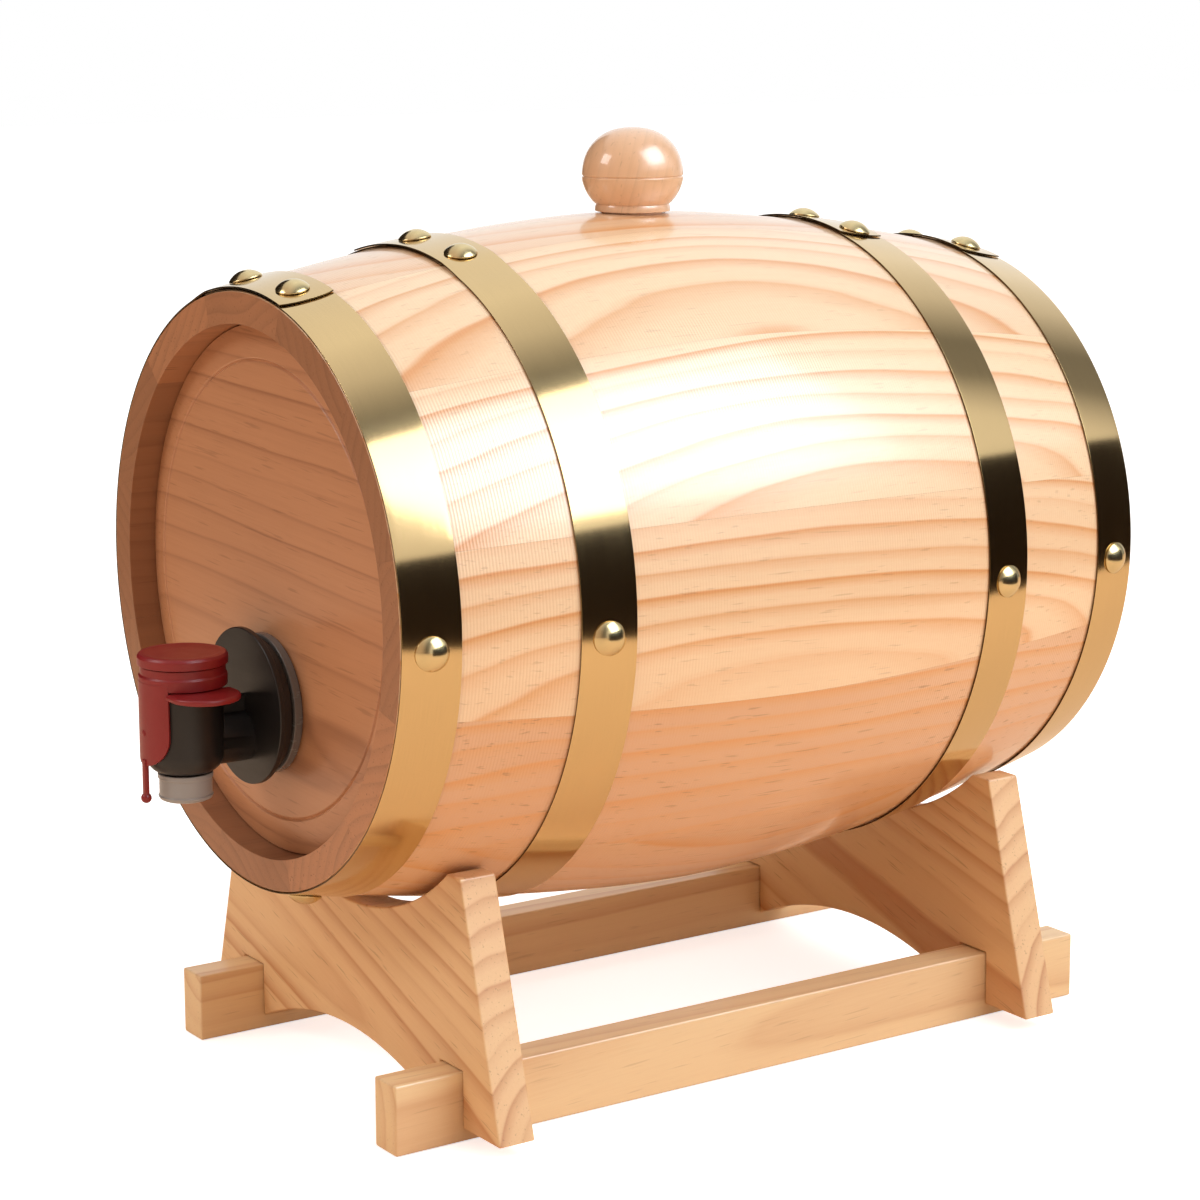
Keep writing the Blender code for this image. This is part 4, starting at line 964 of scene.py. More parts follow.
class WINEBARREL_OT_bung(Operator):
    """Turn the knob bung"""

    bl_idname = "winebarrel.bung"
    bl_label = "Bung"

    def execute(self, context):
        sizes = context.scene.barrel_sizes
        crown = sizes.belly + GAP
        place = Matrix.Translation(BARREL_MIDDLE + Vector((0, sizes.bung_offset, crown)))
        line_low = sizes.bung_line - 0.0003
        line_high = sizes.bung_line + 0.0003
        profile = []
        for step in range(17):
            at = QUARTER * step / 16
            profile.append(
                (
                    sizes.bung_knob * math.sin(at) ** 0.88,
                    line_high + (sizes.bung_height - line_high) * math.cos(at) ** 0.94,
                )
            )
        profile.append((sizes.bung_knob - 0.0005, sizes.bung_line))
        draw = sizes.bung_knob - sizes.bung_waist
        bowl = line_low - sizes.bung_foot_height
        for step in range(13):
            fall = math.sin(QUARTER * step / 12)
            flare = 0.70 * fall**1.7 + 0.30 * (1 - math.sqrt(1 - fall * fall))
            profile.append((sizes.bung_knob - draw * flare, line_low - bowl * fall))
        shank = sizes.bung_hole - GAP
        profile += [
            (sizes.bung_foot, sizes.bung_foot_height * 0.6),
            (sizes.bung_foot, 0),
            (shank, 0),
            (shank - sizes.bung_taper, -sizes.bung_shank),
            (0, -sizes.bung_shank),
        ]
        shape = soften(lathe(profile, 72), 0.00022, 3, 30)
        middle = place.translation
        log = log_frame(middle + Vector((0.05, 0.06, 0)), (0.1, 0.2, 1), (1, 0, 0))
        add_piece("bung_turned", shape, ("knob",), "bung", ("bung",), place, log, 0.1)
        return {"FINISHED"}


# Stand
def chord_arc(half, rise):
    """Radius and half-angle of an arc of this half-chord and rise."""
    radius = (half * half + rise * rise) / (2 * rise)
    return radius, math.asin(half / radius)


def cradle_board(name, sizes):
    """Cradle outline with its saddle, horns, slanted ends, rail notches and arch, made a board."""
    low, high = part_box(name)
    rail_low, rail_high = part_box("right_rail")
    foot_half = high.x
    top_half = foot_half * 0.0728 / 0.0949
    seat = saddle_half(name)
    notch_out = rail_high.x + GAP
    notch_in = rail_low.x - GAP
    notch_top = rail_high.z + GAP
    shape = bmesh.new()
    first = shape.verts.new((foot_half, sizes.foot, 0))
    at = straight(shape, first, (top_half, sizes.horn, 0))
    at = straight(shape, at, (seat, sizes.horn, 0))
    radius, sweep = chord_arc(seat, sizes.saddle)
    centre = (0, sizes.horn - sizes.saddle + radius, 0)
    at = swing(shape, at, centre, -2 * sweep, 36)
    at = straight(shape, at, (-top_half, sizes.horn, 0))
    at = straight(shape, at, (-foot_half, sizes.foot, 0))
    at = straight(shape, at, (-notch_out, sizes.foot, 0))
    at = straight(shape, at, (-notch_out, notch_top, 0))
    at = straight(shape, at, (-notch_in, notch_top, 0))
    at = straight(shape, at, (-notch_in, sizes.foot, 0))
    radius, sweep = chord_arc(notch_in, sizes.arch)
    at = swing(shape, at, (0, sizes.foot + sizes.arch - radius, 0), -2 * sweep, 28)
    at = straight(shape, at, (notch_in, notch_top, 0))
    at = straight(shape, at, (notch_out, notch_top, 0))
    at = straight(shape, at, (notch_out, sizes.foot, 0))
    shape.edges.new((at, first))
    board = filled(shape, sizes.board)
    middle = (low.y + high.y) / 2
    return moved(board, Matrix.Translation((0, middle, 0)) @ FACE_FRONT)


def saddle_half(name):
    """Half the width of the saddle, where the horns meet the staves at the board's inner face."""
    sizes = bpy.context.scene.barrel_sizes
    low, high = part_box(name)
    inner = min(abs(low.y - BARREL_MIDDLE.y), abs(high.y - BARREL_MIDDLE.y))
    reach = barrel_radius(sizes, inner) + GAP
    rise = BARREL_MIDDLE.z - bpy.context.scene.stand_sizes.horn
    return math.sqrt(reach * reach - rise * rise)


class WINEBARREL_OT_stand(Operator):
    """Saw the cradles and rails, with their arrises taken off"""

    bl_idname = "winebarrel.stand"
    bl_label = "Cradles and rails"

    def execute(self, context):
        sizes = context.scene.stand_sizes
        cradles = (
            ("front_cradle", (0.093, 0.013, -0.047), (1, 0.05, -0.30)),
            ("rear_cradle", (0.093, 0.020, -0.040), (1, -0.03, -0.30)),
        )
        for name, heart, run in cradles:
            shape = soften(cradle_board(name, sizes), sizes.arris, 2, 28)
            log = log_frame(middle_of(name) + Vector(heart), run, (0, 0, 1))
            add_piece(
                name + "_sawn", shape, ("stand",), "stand", (name,), None, log, 0.5, 0.9
            )
        rails = (
            ("left_rail", (0.028, 0.2, 0.030), (0.03, 1, 0.01)),
            ("right_rail", (-0.045, -0.3, -0.012), (0.03, 1, 0.05)),
        )
        for name, heart, run in rails:
            shape = soften(block(*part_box(name)), sizes.arris, 2, 28)
            log = log_frame(middle_of(name) + Vector(heart), run, (0, 0, 1))
            add_piece(
                name + "_sawn", shape, ("stand",), "stand", (name,), None, log, 0.0, 0.55
            )
        return {"FINISHED"}


class WINEBARREL_OT_screws(Operator):
    """Drive the countersunk screws that hold the rails up into the cradles"""

    bl_idname = "winebarrel.screws"
    bl_label = "Stand screws"

    def execute(self, context):
        sizes = context.scene.stand_sizes
        for name in ("front_left", "front_right", "rear_left", "rear_right"):
            node = name + "_screw"
            low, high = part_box(node)
            top = high.z
            bottom = low.z
            head = bottom + 0.0026
            profile = [(0, top), (sizes.screw, top - 0.003)]
            turns = 14
            run = top - 0.004 - head
            for step in range(turns):
                z = top - 0.004 - run * step / turns
                profile += [(sizes.screw, z), (sizes.screw * 0.72, z - run / turns * 0.5)]
            profile += [
                (sizes.screw, head),
                (sizes.screw_head, bottom + 0.0002),
                (sizes.screw_head, bottom),
                (0, bottom),
            ]
            shape = lathe(profile, 24)
            middle = (low + high) / 2
            arm = sizes.screw_head * 0.62
            for turned in (0, QUARTER):
                slot = block((-arm, -0.0005, bottom - 0.001), (arm, 0.0005, bottom + 0.0012))
                shape = carved(shape, moved(slot, Matrix.Rotation(turned, 4, "Z")))
            place = Matrix.Translation((middle.x, middle.y, 0))
            add_piece(node + "_cut", shape, ("screw",), "stand", (node,), place)
        return {"FINISHED"}


# Tap: radii, and heights from the axis it turns on
TAP_STEPS = 72
COLLAR_BORE = 0.0113
COLLAR_FOOT = 0.0099
COLLAR_NARROW = 0.0135
COLLAR_WIDE = 0.0140
COLLAR_STEP = 0.0005
TONGUE_HALF_TURN = math.radians(44)
TONGUE_STRAIGHT_END = -0.0048
TONGUE_THICKNESS = 0.0013
STRIP_HALF_WIDTH = 0.0010
STRIP_FRONT = -0.0146
STRIP_BACK = -0.0130
STRIP_MIDDLE = -0.0138
STRIP_END = -0.0251
STRIP_OVERLAP = 0.0020
STRIP_BALL = 0.0017
GATE_MARK = 0.0011
GATE_MARK_HEIGHT = -0.0042
GRIP_RING = 0.0125
WING_INSIDE = 0.0101
CAP_TOP = -0.0185
CAP_FLOOR = -0.0263
CAP_WALL = 0.0010
CAP_PLUG = 0.0053
CAP_PLUG_LENGTH = 0.0031
GLAND_BORE = 0.0172
GLAND_TUBE = 0.0200
GLAND_FLANGE = 0.0227
GLAND_FACE = 0.0032
GLAND_END = -0.0208


class WINEBARREL_OT_gland(Operator):
    """Turn the clear sleeve in the head, with its flange"""

    bl_idname = "winebarrel.gland"
    bl_label = "Tap gland"

    def execute(self, context):
        profile = [
            (GLAND_BORE, GLAND_FACE),
            (GLAND_FLANGE, GLAND_FACE),
            (GLAND_FLANGE, GAP),
            (GLAND_TUBE, GAP),
            (GLAND_TUBE, GLAND_END),
            (GLAND_BORE, GLAND_END),
        ]
        shape = soften(lathe(profile, TAP_STEPS, closed=True), 0.0004, 3)
        add_piece(
            "tap_gland_turned", shape, ("gland",), "barrel", ("tap_gland",), IN_GLAND
        )
        return {"FINISHED"}


class WINEBARREL_OT_tap_body(Operator):
    """Mould the black body: spigot, flange, arm, web and upright chamber with its spout"""

    bl_idname = "winebarrel.tap_body"
    bl_label = "Tap body"

    def execute(self, context):
        sizes = context.scene.tap_sizes
        upright = [
            (0, 0.0140),
            (0.0110, 0.0140),
            (0.0110, 0.0074),
            (sizes.body, 0.0074),
            (sizes.body, -0.0115),
        ]
        for step in range(1, 9):
            at = QUARTER * step / 8
            draw = sizes.body - 0.0077
            upright.append((sizes.body - draw * (1 - math.cos(at)), -0.0115 - 0.0065 * math.sin(at)))
        upright += [(0.0066, -0.0180), (0.0066, -0.0260), (0, -0.0260)]
        body = soften(lathe(upright, TAP_STEPS), 0.0004, 2, 25)
        body = moved(body, ON_TAP)
        spigot = [
            (0, 0.0097),
            (0.0253, 0.0097),
            (0.0253, 0.0076),
            (0.0207, 0.0076),
            (0.0207, 0.0062),
            (0.0219, 0.0062),
            (0.0219, 0.0035),
            (0.0169, 0.0035),
            (0.0169, -0.0079),
            (0.0150, -0.0079),
            (0.0150, -0.0103),
            (0.0169, -0.0103),
            (0.0169, -0.0188),
            (0, -0.0188),
        ]
        spigot = moved(soften(lathe(spigot, TAP_STEPS), 0.00035, 2, 25), IN_GLAND)
        arm_place = IN_GLAND @ Matrix.Translation((0, -sizes.drop, 0))
        arm = moved(rod(0.0082, 0.0086, sizes.reach, 48), arm_place)
        web = moved(
            soften(block((-0.0010, -sizes.drop, 0.0086), (0.0010, 0.0040, sizes.reach)), 0.0003, 2),
            IN_GLAND,
        )
        chamber = [
            (0, 0.0160),
            (0.0099, 0.0160),
            (0.0099, 0.0110),
            (0.0088, 0.0110),
            (0.0088, -0.0110),
            (0.0052, -0.0155),
            (0.0034, -0.0155),
            (0.0034, -0.0170),
            (0.0056, -0.0170),
            (0.0056, -0.0280),
            (0, -0.0280),
        ]
        chamber = moved(lathe(chamber, TAP_STEPS), ON_TAP)
        inlet = moved(rod(0.0055, 0, sizes.reach, 48), arm_place)
        bore = moved(rod(sizes.spigot_bore, GLAND_END, 0.0041, 64), IN_GLAND)
        for form in (spigot, arm, web):
            body = carved(body, form, "UNION")
        for cutter in (chamber, inlet, bore):
            body = carved(body, cutter)
        add_piece("tap_body_moulded", body, ("black",), "tap", ("tap_body",))
        ring = [
            (0.0153, -0.0082),
            (0.0169, -0.0082),
            (0.0169, -0.0100),
            (0.0153, -0.0100),
        ]
        shape = soften(lathe(ring, TAP_STEPS, closed=True), 0.0005, 3)
        add_piece(
            "spigot_ring_moulded", shape, ("rubber",), "tap", ("spigot_ring",), IN_GLAND
        )
        return {"FINISHED"}


class WINEBARREL_OT_button(Operator):
    """Mould the dished button, the return diaphragm under it, and the valve's stem and seal"""

    bl_idname = "winebarrel.button"
    bl_label = "Push button and valve"

    def execute(self, context):
        sizes = context.scene.tap_sizes
        top, bottom, radius = sizes.button_top, sizes.button_bottom, sizes.button
        dish = top - 0.0006
        profile = [
            (0, dish),
            (0.0070, dish),
            (0.0100, dish + 0.00015),
            (0.0118, top - 0.00005),
            (0.0126, top),
            (radius - 0.0006, top - 0.00015),
            (radius, top - 0.0010),
            (radius, bottom),
            (radius - 0.0005, bottom),
            (radius - 0.0005, top - 0.0008),
            (0.0118, top - 0.0008),
            (0.0079, top - 0.0014),
            (0.0034, top - 0.0014),
            (0.0034, bottom),
            (0.0018, bottom),
            (0.0018, dish - 0.0004),
            (0, dish - 0.0004),
        ]
        shape = soften(lathe(profile, TAP_STEPS), 0.00018, 2, 25)
        add_piece(
            "push_button_moulded", shape, ("red",), "button", ("push_button",), ON_TAP
        )
        low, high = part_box("return_diaphragm")
        base = low.z - TAP_MIDDLE.z
        crown = high.z - TAP_MIDDLE.z
        outer = (high.x - low.x) / 2
        inner = outer - 0.0014
        rim = base + 0.0016
        profile = [
            (0.0018, crown),
            (0.0040, crown),
            (0.0062, crown - 0.0009),
            (inner, rim),
            (outer, rim),
            (outer, base),
            (inner, base),
            (inner - 0.0010, rim - 0.0010),
            (0.0035, crown - 0.0010),
            (0.0018, crown - 0.0010),
        ]
        shape = soften(lathe(profile, TAP_STEPS, closed=True), 0.00015, 2, 20)
        dome = add_piece(
            "return_diaphragm_moulded", shape, ("rubber",), "tap",
            ("return_diaphragm",), ON_TAP,
        )
        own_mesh(dome)
        low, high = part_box("valve_stem")
        stem_top = high.z - TAP_MIDDLE.z
        stem_low = low.z - TAP_MIDDLE.z
        profile = [
            (0, stem_top),
            (0.0015, stem_top),
            (0.0015, stem_low + 0.0010),
            (0.0045, stem_low + 0.0010),
            (0.0045, stem_low),
            (0, stem_low),
        ]
        shape = soften(lathe(profile, 40), 0.0002, 2)
        add_piece(
            "valve_stem_moulded", shape, ("white",), "button", ("valve_stem",), ON_TAP
        )
        low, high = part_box("valve_seal")
        seal_top = high.z - TAP_MIDDLE.z
        seal_low = low.z - TAP_MIDDLE.z
        profile = [(0.0018, seal_top), (0.0045, seal_top), (0.0045, seal_low), (0.0018, seal_low)]
        shape = soften(lathe(profile, 40, closed=True), 0.0002, 2)
        add_piece(
            "valve_seal_moulded", shape, ("rubber",), "button", ("valve_seal",), ON_TAP
        )
        return {"FINISHED"}


class WINEBARREL_OT_grip(Operator):
    """Mould the finger grip with its round wing"""

    bl_idname = "winebarrel.grip"
    bl_label = "Finger grip"

    def execute(self, context):
        sizes = context.scene.tap_sizes
        low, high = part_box("finger_grip")
        thickness = high.z - low.z
        middle = Matrix.Translation((TAP_MIDDLE.x, TAP_MIDDLE.y, (low.z + high.z) / 2))
        grip = rod(GRIP_RING, -thickness / 2, thickness / 2, TAP_STEPS)
        soften(grip, 0.0005, 3)
        shape = bmesh.new()
        first = shape.verts.new((WING_INSIDE, -sizes.wing, 0))
        at = straight(shape, first, (sizes.wing_reach, -sizes.wing, 0))
        at = swing(shape, at, (sizes.wing_reach, 0, 0), math.pi, 32)
        at = straight(shape, at, (WING_INSIDE, sizes.wing, 0))
        shape.edges.new((at, first))
        wing = soften(filled(shape, thickness), 0.0007, 3)
        grip = carved(grip, wing, "UNION")
        grip = carved(grip, rod(COLLAR_BORE, -thickness, thickness, TAP_STEPS))
        add_piece("finger_grip_moulded", grip, ("red",), "tap", ("finger_grip",), middle)
        return {"FINISHED"}


class WINEBARREL_OT_collar(Operator):
    """Mould the tamper collar with its hanging tongue and pull strip"""

    bl_idname = "winebarrel.collar"
    bl_label = "Tamper collar"

    def execute(self, context):
        sizes = context.scene.tap_sizes
        bottom = COLLAR_FOOT
        top = sizes.button_bottom - GAP
        step = sizes.button_bottom - sizes.travel - GAP
        profile = [
            (COLLAR_BORE, top),
            (COLLAR_NARROW, top),
            (COLLAR_NARROW, step),
            (COLLAR_WIDE, step - COLLAR_STEP),
            (COLLAR_WIDE, bottom),
            (COLLAR_BORE, bottom),
        ]
        collar = soften(lathe(profile, TAP_STEPS, closed=True), 0.0002, 2, 30)
        half = sizes.tongue * math.sin(TONGUE_HALF_TURN)
        flat_half = sizes.tongue * TONGUE_HALF_TURN
        shape = bmesh.new()
        first = shape.verts.new((flat_half, TONGUE_STRAIGHT_END, 0))
        at = straight(shape, first, (flat_half, (bottom + step) / 2, 0))
        at = straight(shape, at, (-flat_half, (bottom + step) / 2, 0))
        at = straight(shape, at, (-flat_half, TONGUE_STRAIGHT_END, 0))
        at = swing(shape, at, (0, TONGUE_STRAIGHT_END, 0), math.pi, 36)
        squash_low = Matrix.Diagonal((1, half / flat_half, 1))
        below = [vert for vert in shape.verts if vert.co.y < TONGUE_STRAIGHT_END]
        level = Matrix.Translation((0, -TONGUE_STRAIGHT_END, 0))
        bmesh.ops.transform(shape, matrix=squash_low.to_4x4(), space=level, verts=below)
        tongue = filled(shape, TONGUE_THICKNESS)
        slices = 22
        for i in range(1, slices):
            x = flat_half * (2 * i / slices - 1)
            bmesh.ops.bisect_plane(
                tongue,
                geom=tongue.verts[:] + tongue.edges[:] + tongue.faces[:],
                plane_co=(x, 0, 0),
                plane_no=(1, 0, 0),
            )
        soften(tongue, 0.0003, 2, 60)
        middle_radius = sizes.tongue - TONGUE_THICKNESS / 2
        for vert in tongue.verts:
            at_turn = vert.co.x / sizes.tongue
            reach = middle_radius + vert.co.z
            vert.co = Vector((reach * math.sin(at_turn), -reach * math.cos(at_turn), vert.co.y))
        collar = carved(collar, tidied(tongue), "UNION")
        strip_top = TONGUE_STRAIGHT_END - half + STRIP_OVERLAP
        strip = block(
            (-STRIP_HALF_WIDTH, STRIP_FRONT, STRIP_END), (STRIP_HALF_WIDTH, STRIP_BACK, strip_top)
        )
        collar = carved(collar, soften(strip, 0.0003, 2), "UNION")
        ball = bmesh.new()
        bmesh.ops.create_uvsphere(ball, u_segments=24, v_segments=14, radius=STRIP_BALL)
        moved(ball, Matrix.Translation((0, STRIP_MIDDLE, STRIP_END)))
        collar = carved(collar, ball, "UNION")
        gate = bmesh.new()
        bmesh.ops.create_uvsphere(gate, u_segments=20, v_segments=10, radius=GATE_MARK)
        flat = Matrix.Diagonal((1, 0.35, 1, 1))
        moved(gate, Matrix.Translation((0, -sizes.tongue, GATE_MARK_HEIGHT)) @ flat)
        collar = carved(collar, gate, "UNION")
        add_piece(
            "tamper_collar_moulded", collar, ("red",), "tap", ("tamper_collar",), ON_TAP
        )
        return {"FINISHED"}


class WINEBARREL_OT_cap(Operator):
    """Mould the milky cap under the spout"""

    bl_idname = "winebarrel.cap"
    bl_label = "Spout cap"

    def execute(self, context):
        radius = context.scene.tap_sizes.cap
        floor = CAP_FLOOR
        low = floor - CAP_WALL
        profile = [
            (0, floor + CAP_PLUG_LENGTH),
            (CAP_PLUG, floor + CAP_PLUG_LENGTH),
            (CAP_PLUG, floor),
            (radius - CAP_WALL, floor),
            (radius - CAP_WALL, CAP_TOP),
            (radius, CAP_TOP),
            (radius, -0.0200),
            (radius - 0.0004, -0.0203),
            (radius - 0.0004, low + 0.0018),
            (radius, low + 0.0016),
            (radius - 0.0005, low + 0.0005),
            (radius - 0.0016, low),
            (0, low),
        ]
        shape = soften(lathe(profile, TAP_STEPS), 0.0002, 2, 25)
        add_piece("spout_cap_moulded", shape, ("cap",), "cap", ("spout_cap",), ON_TAP)
        return {"FINISHED"}


class WINEBARREL_OT_liner(Operator):
    """Lay the empty foil pouch on the barrel's floor, with its neck round the gland"""

    bl_idname = "winebarrel.liner"
    bl_label = "Foil liner"

    def execute(self, context):
        sizes = context.scene.barrel_sizes
        low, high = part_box("foil_liner")
        start = high.y if abs(high.y - HEAD_FACE_Y) < abs(low.y - HEAD_FACE_Y) else low.y
        length = high.y - low.y
        half_width = (high.x - low.x) / 2
        neck = 0.0213
        floor_radius = sizes.bore - 0.0012
        around = 64
        stations = 60
        straight_neck = 0.011
        widening = 0.060
        tail_length = 0.012
        fullness = 0.0080
        lift = 0.0014
        shape = bmesh.new()
        made = bmesh.ops.create_circle(shape, cap_ends=False, segments=around, radius=neck)
        bmesh.ops.rotate(shape, verts=made["verts"], cent=(0, 0, 0), matrix=FACE_FRONT.to_3x3())
        bmesh.ops.translate(shape, verts=made["verts"], vec=(0, start, TAP_MIDDLE.z))
        edges = shape.edges[:]
        loop = made["verts"]
        turns = {vert: math.atan2(vert.co.z - TAP_MIDDLE.z, vert.co.x) for vert in loop}
        drift = noise.noise

        def spot(at, back):
            """Point of the pouch: round at the neck, then flat on the floor with creases."""
            lean = min(1.0, max(0.0, (back - straight_neck) / widening))
            flat = lean * lean * (3 - 2 * lean)
            tail = max(0.0, (back - (length - tail_length)) / tail_length)
            reach = half_width * (1 - 0.16 * tail) * math.cos(at)
            swell = fullness * (1 - 0.5 * tail) * (1 - abs(math.cos(at)) ** 3) / 2
            floor = BARREL_MIDDLE.z - math.sqrt(floor_radius**2 - reach**2)
            crease = 0.0
            if math.sin(at) > 0:
                point = Vector((reach * 55, back * 38, 3.0))
                crease = abs(drift(point)) * 0.0034 + abs(drift(point * 2.3)) * 0.0014
                crease *= flat * (1 - abs(math.cos(at)) ** 4) * (1 - tail)
            low_z = floor + lift + swell + swell * math.sin(at) - crease * 0.5
            x = neck * math.cos(at) * (1 - flat) + reach * flat
            z = (TAP_MIDDLE.z + neck * math.sin(at)) * (1 - flat) + low_z * flat
            return x, z

        for step in range(1, stations + 1):
            back = length * step / stations
            grown = bmesh.ops.extrude_edge_only(shape, edges=edges)["geom"]
            fresh = kind_of(grown, bmesh.types.BMVert)
            edges = [
                edge
                for edge in kind_of(grown, bmesh.types.BMEdge)
                if all(vert in fresh for vert in edge.verts)
            ]
            told = {}
            for vert in fresh:
                old = next(
                    edge.other_vert(vert) for edge in vert.link_edges if edge.other_vert(vert) in turns
                )
                told[vert] = turns[old]
            for vert, at in told.items():
                x, z = spot(at, back)
                vert.co = Vector((x, start + back, z))
            turns = told
        bmesh.ops.contextual_create(shape, geom=edges)
        bmesh.ops.recalc_face_normals(shape, faces=shape.faces)
        obj = add_piece("foil_liner_laid", shape, ("foil",), "barrel", ("foil_liner",))
        obj.modifiers.clear()
        wall = obj.modifiers.new("film", "SOLIDIFY")
        wall.thickness = 0.0003
        wall.offset = -1.0
        return {"FINISHED"}


# Stage: the softbox stands on this side, as degrees from +X towards +Y
KEY_AZIMUTH = 28
LIGHT_DISTANCE = 1.6
SKY_LEVELS = (
    (0.0, 0.8),
    (0.45, 1.0),
    (0.58, 0.75),
    (0.70, 0.22),
    (0.78, 0.25),
    (0.85, 0.9),
    (1.0, 1.0),
)


def stage_material(name, colour, glow=0.0):
    finish = Finish(name, 0.9)
    finish.shader.inputs["Base Color"].default_value = (*colour, 1)
    finish.shader.inputs["Emission Color"].default_value = (1, 1, 1, 1)
    finish.shader.inputs["Emission Strength"].default_value = glow
    finish.shader.inputs["Specular IOR Level"].default_value = 0.0
    return finish.material


def card(name, middle, facing, width, height, material):
    """Flat stage card square to a direction."""
    shape = bmesh.new()
    bmesh.ops.create_grid(shape, x_segments=1, y_segments=1, size=0.5)
    turned = Vector(facing).to_track_quat("Z", "Y").to_matrix().to_4x4()
    stretch = Matrix.Diagonal((width, height, 1, 1))
    moved(shape, Matrix.Translation(middle) @ turned @ stretch)
    mesh = bpy.data.meshes.new(name)
    shape.to_mesh(mesh)
    shape.free()
    mesh.materials.append(material)
    obj = bpy.data.objects.new(name, mesh)
    bpy.context.scene.collection.objects.link(obj)
    return obj


def seen_in_gloss_only(obj):
    obj.visible_camera = False
    obj.visible_diffuse = False
    obj.visible_shadow = False
    obj.visible_transmission = False
    obj.visible_volume_scatter = False


def direction(azimuth, elevation):
    """Unit vector, with the azimuth measured from +X towards +Y."""
    a, e = math.radians(azimuth), math.radians(elevation)
    return Vector((math.cos(a) * math.cos(e), math.sin(a) * math.cos(e), math.sin(e)))


def area_light(name, middle, aim, width, height, power, tint=(1, 1, 1)):
    light = bpy.data.lights.new(name, "AREA")
    light.shape = "RECTANGLE"
    light.size = width
    light.size_y = height
    light.energy = power
    light.color = tint
    obj = bpy.data.objects.new(name, light)
    bpy.context.scene.collection.objects.link(obj)
    obj.location = middle
    obj.rotation_euler = (Vector(aim) - Vector(middle)).to_track_quat("-Z", "Y").to_euler()
    obj.visible_camera = False
    return obj


class WINEBARREL_OT_stage(Operator):
    """Set up the floor, the light and the camera"""

    bl_idname = "winebarrel.stage"
    bl_label = "Stage, light and camera"

    @staticmethod
    def paint_world(scene, stage):
        """White backdrop, and a softer sky that lights the object: dark over the softbox, bright
        behind, and warm and dim in front."""
        world = bpy.data.worlds.new("studio")
        scene.world = world
        world.use_nodes = True
        web = Web(world.node_tree)
        x, y, z = web.parts(web.node("ShaderNodeTexCoord", {}, {}, "Generated"))
        side = direction(KEY_AZIMUTH, 0)
        toward = (x * side.x + y * side.y) * 0.5 + 0.5
        level = web.curve(toward, *SKY_LEVELS)
        behind = web.curve(y * 0.5 + 0.5, (0.12, 0.0), (0.62, 1.0))
        colour = web.mix(behind, stage.dusk, (1.0, 1.0, 1.0))
        sky = web.node("ShaderNodeBackground", {}, {"Color": colour, "Strength": level * stage.sky})
        white = web.node("ShaderNodeBackground", {}, {"Color": (1, 1, 1, 1), "Strength": 1.0})
        camera_sees = web.node("ShaderNodeLightPath", {}, {}, "Is Camera Ray")
        both = web.node("ShaderNodeMixShader", {}, {0: camera_sees, 1: sky, 2: white})
        web.tree.links.new(both.socket, web.tree.nodes["World Output"].inputs[0])

    @staticmethod
    def floor_paper(stage):
        """Pale paper that glows a little to the camera, and gives the object a warmer bounce."""
        web = Web(stage_material("floor_paper", (0.9, 0.9, 0.9)).node_tree)
        paper = web.node("ShaderNodeBsdfDiffuse", {}, {"Color": (0.9, 0.9, 0.9, 1)})
        glow = web.node("ShaderNodeEmission", {}, {"Strength": stage.glow})
        bright = web.node("ShaderNodeAddShader", {}, {0: paper, 1: glow})
        bounce = web.node("ShaderNodeBsdfDiffuse", {}, {"Color": (*stage.bounce, 1)})
        camera_sees = web.node("ShaderNodeLightPath", {}, {}, "Is Camera Ray")
        both = web.node("ShaderNodeMixShader", {}, {0: camera_sees, 1: bounce, 2: bright})
        web.tree.links.new(both.socket, web.tree.nodes["Material Output"].inputs[0])
        return bpy.data.materials["floor_paper"]

    def execute(self, context):
        scene = context.scene
        stage = scene.stage_settings
        camera = bpy.data.cameras.new("camera")
        camera.lens = stage.lens
        camera.sensor_width = 36.0
        camera.shift_x = stage.shift_x
        camera.shift_y = stage.shift_y
        camera.clip_start = 0.01
        eye = bpy.data.objects.new("camera", camera)
        scene.collection.objects.link(eye)
        look = (Vector(stage.aim) - Vector(stage.eye)).to_track_quat("-Z", "Y").to_matrix().to_4x4()
        roll = Matrix.Rotation(stage.roll, 4, "Z")
        eye.matrix_world = Matrix.Translation(stage.eye) @ look @ roll
        scene.camera = eye
        scene.view_settings.view_transform = "Standard"
        self.paint_world(scene, stage)
        floor = self.floor_paper(stage)
        card("floor", (0, 0, -0.0002), (0, 0, 1), 12, 12, floor)
        cloth = stage_material("flag_cloth", (0.014, 0.009, 0.006))
        side = direction(KEY_AZIMUTH, 0)
        rise = Vector((0, 0, 0.02))
        side_flag = card(
            "side_flag", BARREL_MIDDLE + side * 0.62 + rise, -side, 1.15, 0.40, cloth
        )
        front = direction(203, 0)
        raised = Vector((0, 0, 0.35))
        front_flag = card(
            "front_flag", BARREL_MIDDLE + front * 0.75 + raised, -front, 1.05, 1.0, cloth
        )
        for flag in (side_flag, front_flag):
            seen_in_gloss_only(flag)
        place = BARREL_MIDDLE + direction(KEY_AZIMUTH, 42) * LIGHT_DISTANCE
        area_light("key_softbox", place, BARREL_MIDDLE, 1.3, 1.1, stage.key)
        shine = area_light("key_shine", place, BARREL_MIDDLE, 1.05, 1.0, stage.shine, (0.72, 0.86, 1.0))
        shine.visible_diffuse = False
        place = BARREL_MIDDLE + direction(-107, 33) * LIGHT_DISTANCE
        area_light("fill_softbox", place, BARREL_MIDDLE, 0.55, 0.55, stage.fill)
        return {"FINISHED"}


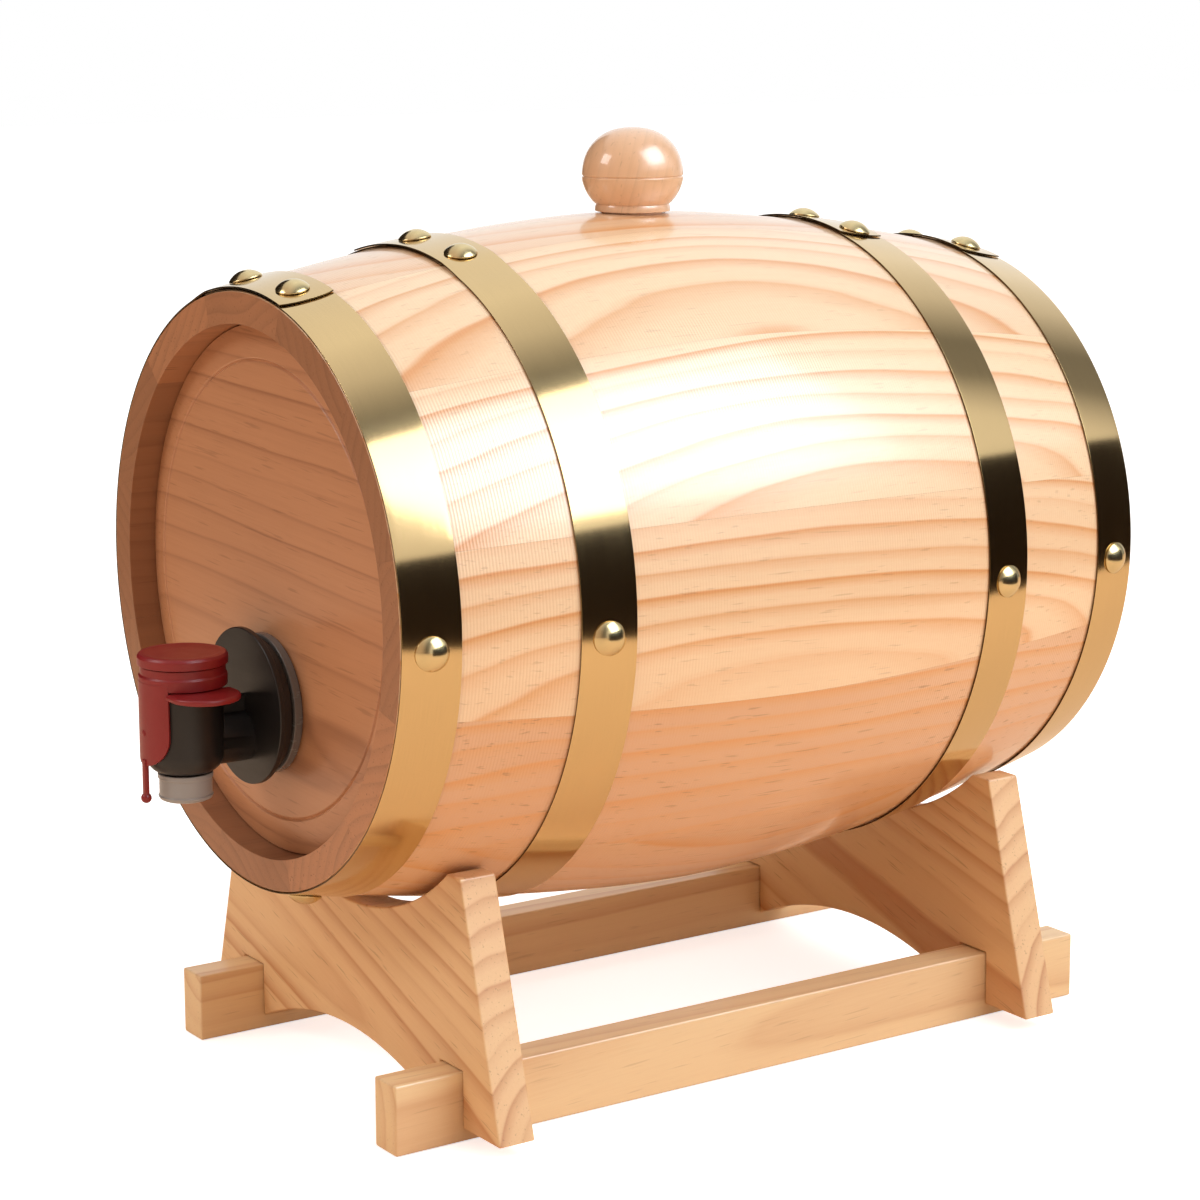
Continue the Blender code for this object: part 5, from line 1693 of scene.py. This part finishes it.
class WINEBARREL_OT_finishes(Operator):
    """Mix every finish from the colours"""

    bl_idname = "winebarrel.finishes"
    bl_label = "Finishes"

    def execute(self, context):
        make_finishes(context.scene.finish_colours)
        return {"FINISHED"}


OPERATORS = (
    WINEBARREL_OT_finishes,
    WINEBARREL_OT_stage,
    WINEBARREL_OT_staves,
    WINEBARREL_OT_heads,
    WINEBARREL_OT_hoops,
    WINEBARREL_OT_nails,
    WINEBARREL_OT_bung,
    WINEBARREL_OT_stand,
    WINEBARREL_OT_screws,
    WINEBARREL_OT_gland,
    WINEBARREL_OT_tap_body,
    WINEBARREL_OT_button,
    WINEBARREL_OT_grip,
    WINEBARREL_OT_collar,
    WINEBARREL_OT_cap,
    WINEBARREL_OT_liner,
)


class WINEBARREL_PT_panel(Panel):
    """Sizes, colours and steps of the wine barrel"""

    bl_idname = "WINEBARREL_PT_panel"
    bl_label = "Wine barrel"
    bl_space_type = "VIEW_3D"
    bl_region_type = "UI"
    bl_category = "Wine Barrel"

    def draw(self, context):
        for step in OPERATORS:
            self.layout.operator(step.bl_idname)
        for name, group in GROUPS.items():
            box = self.layout.box()
            for label in group.__annotations__:
                box.prop(getattr(context.scene, name), label)


GROUPS = {
    "barrel_sizes": BarrelSizes,
    "stand_sizes": StandSizes,
    "tap_sizes": TapSizes,
    "finish_colours": Colours,
    "stage_settings": StageSettings,
}


def register():
    for group in GROUPS.values():
        bpy.utils.register_class(group)
    for name, group in GROUPS.items():
        setattr(bpy.types.Scene, name, PointerProperty(type=group))
    for item in (*OPERATORS, WINEBARREL_PT_panel):
        bpy.utils.register_class(item)


def unregister():
    for item in reversed((*OPERATORS, WINEBARREL_PT_panel)):
        bpy.utils.unregister_class(item)
    for name in GROUPS:
        delattr(bpy.types.Scene, name)
    for group in reversed(list(GROUPS.values())):
        bpy.utils.unregister_class(group)


def main():
    register()
    for step in OPERATORS:
        _, name = step.bl_idname.split(".")
        getattr(bpy.ops.winebarrel, name)()


if __name__ == "__main__":
    main()
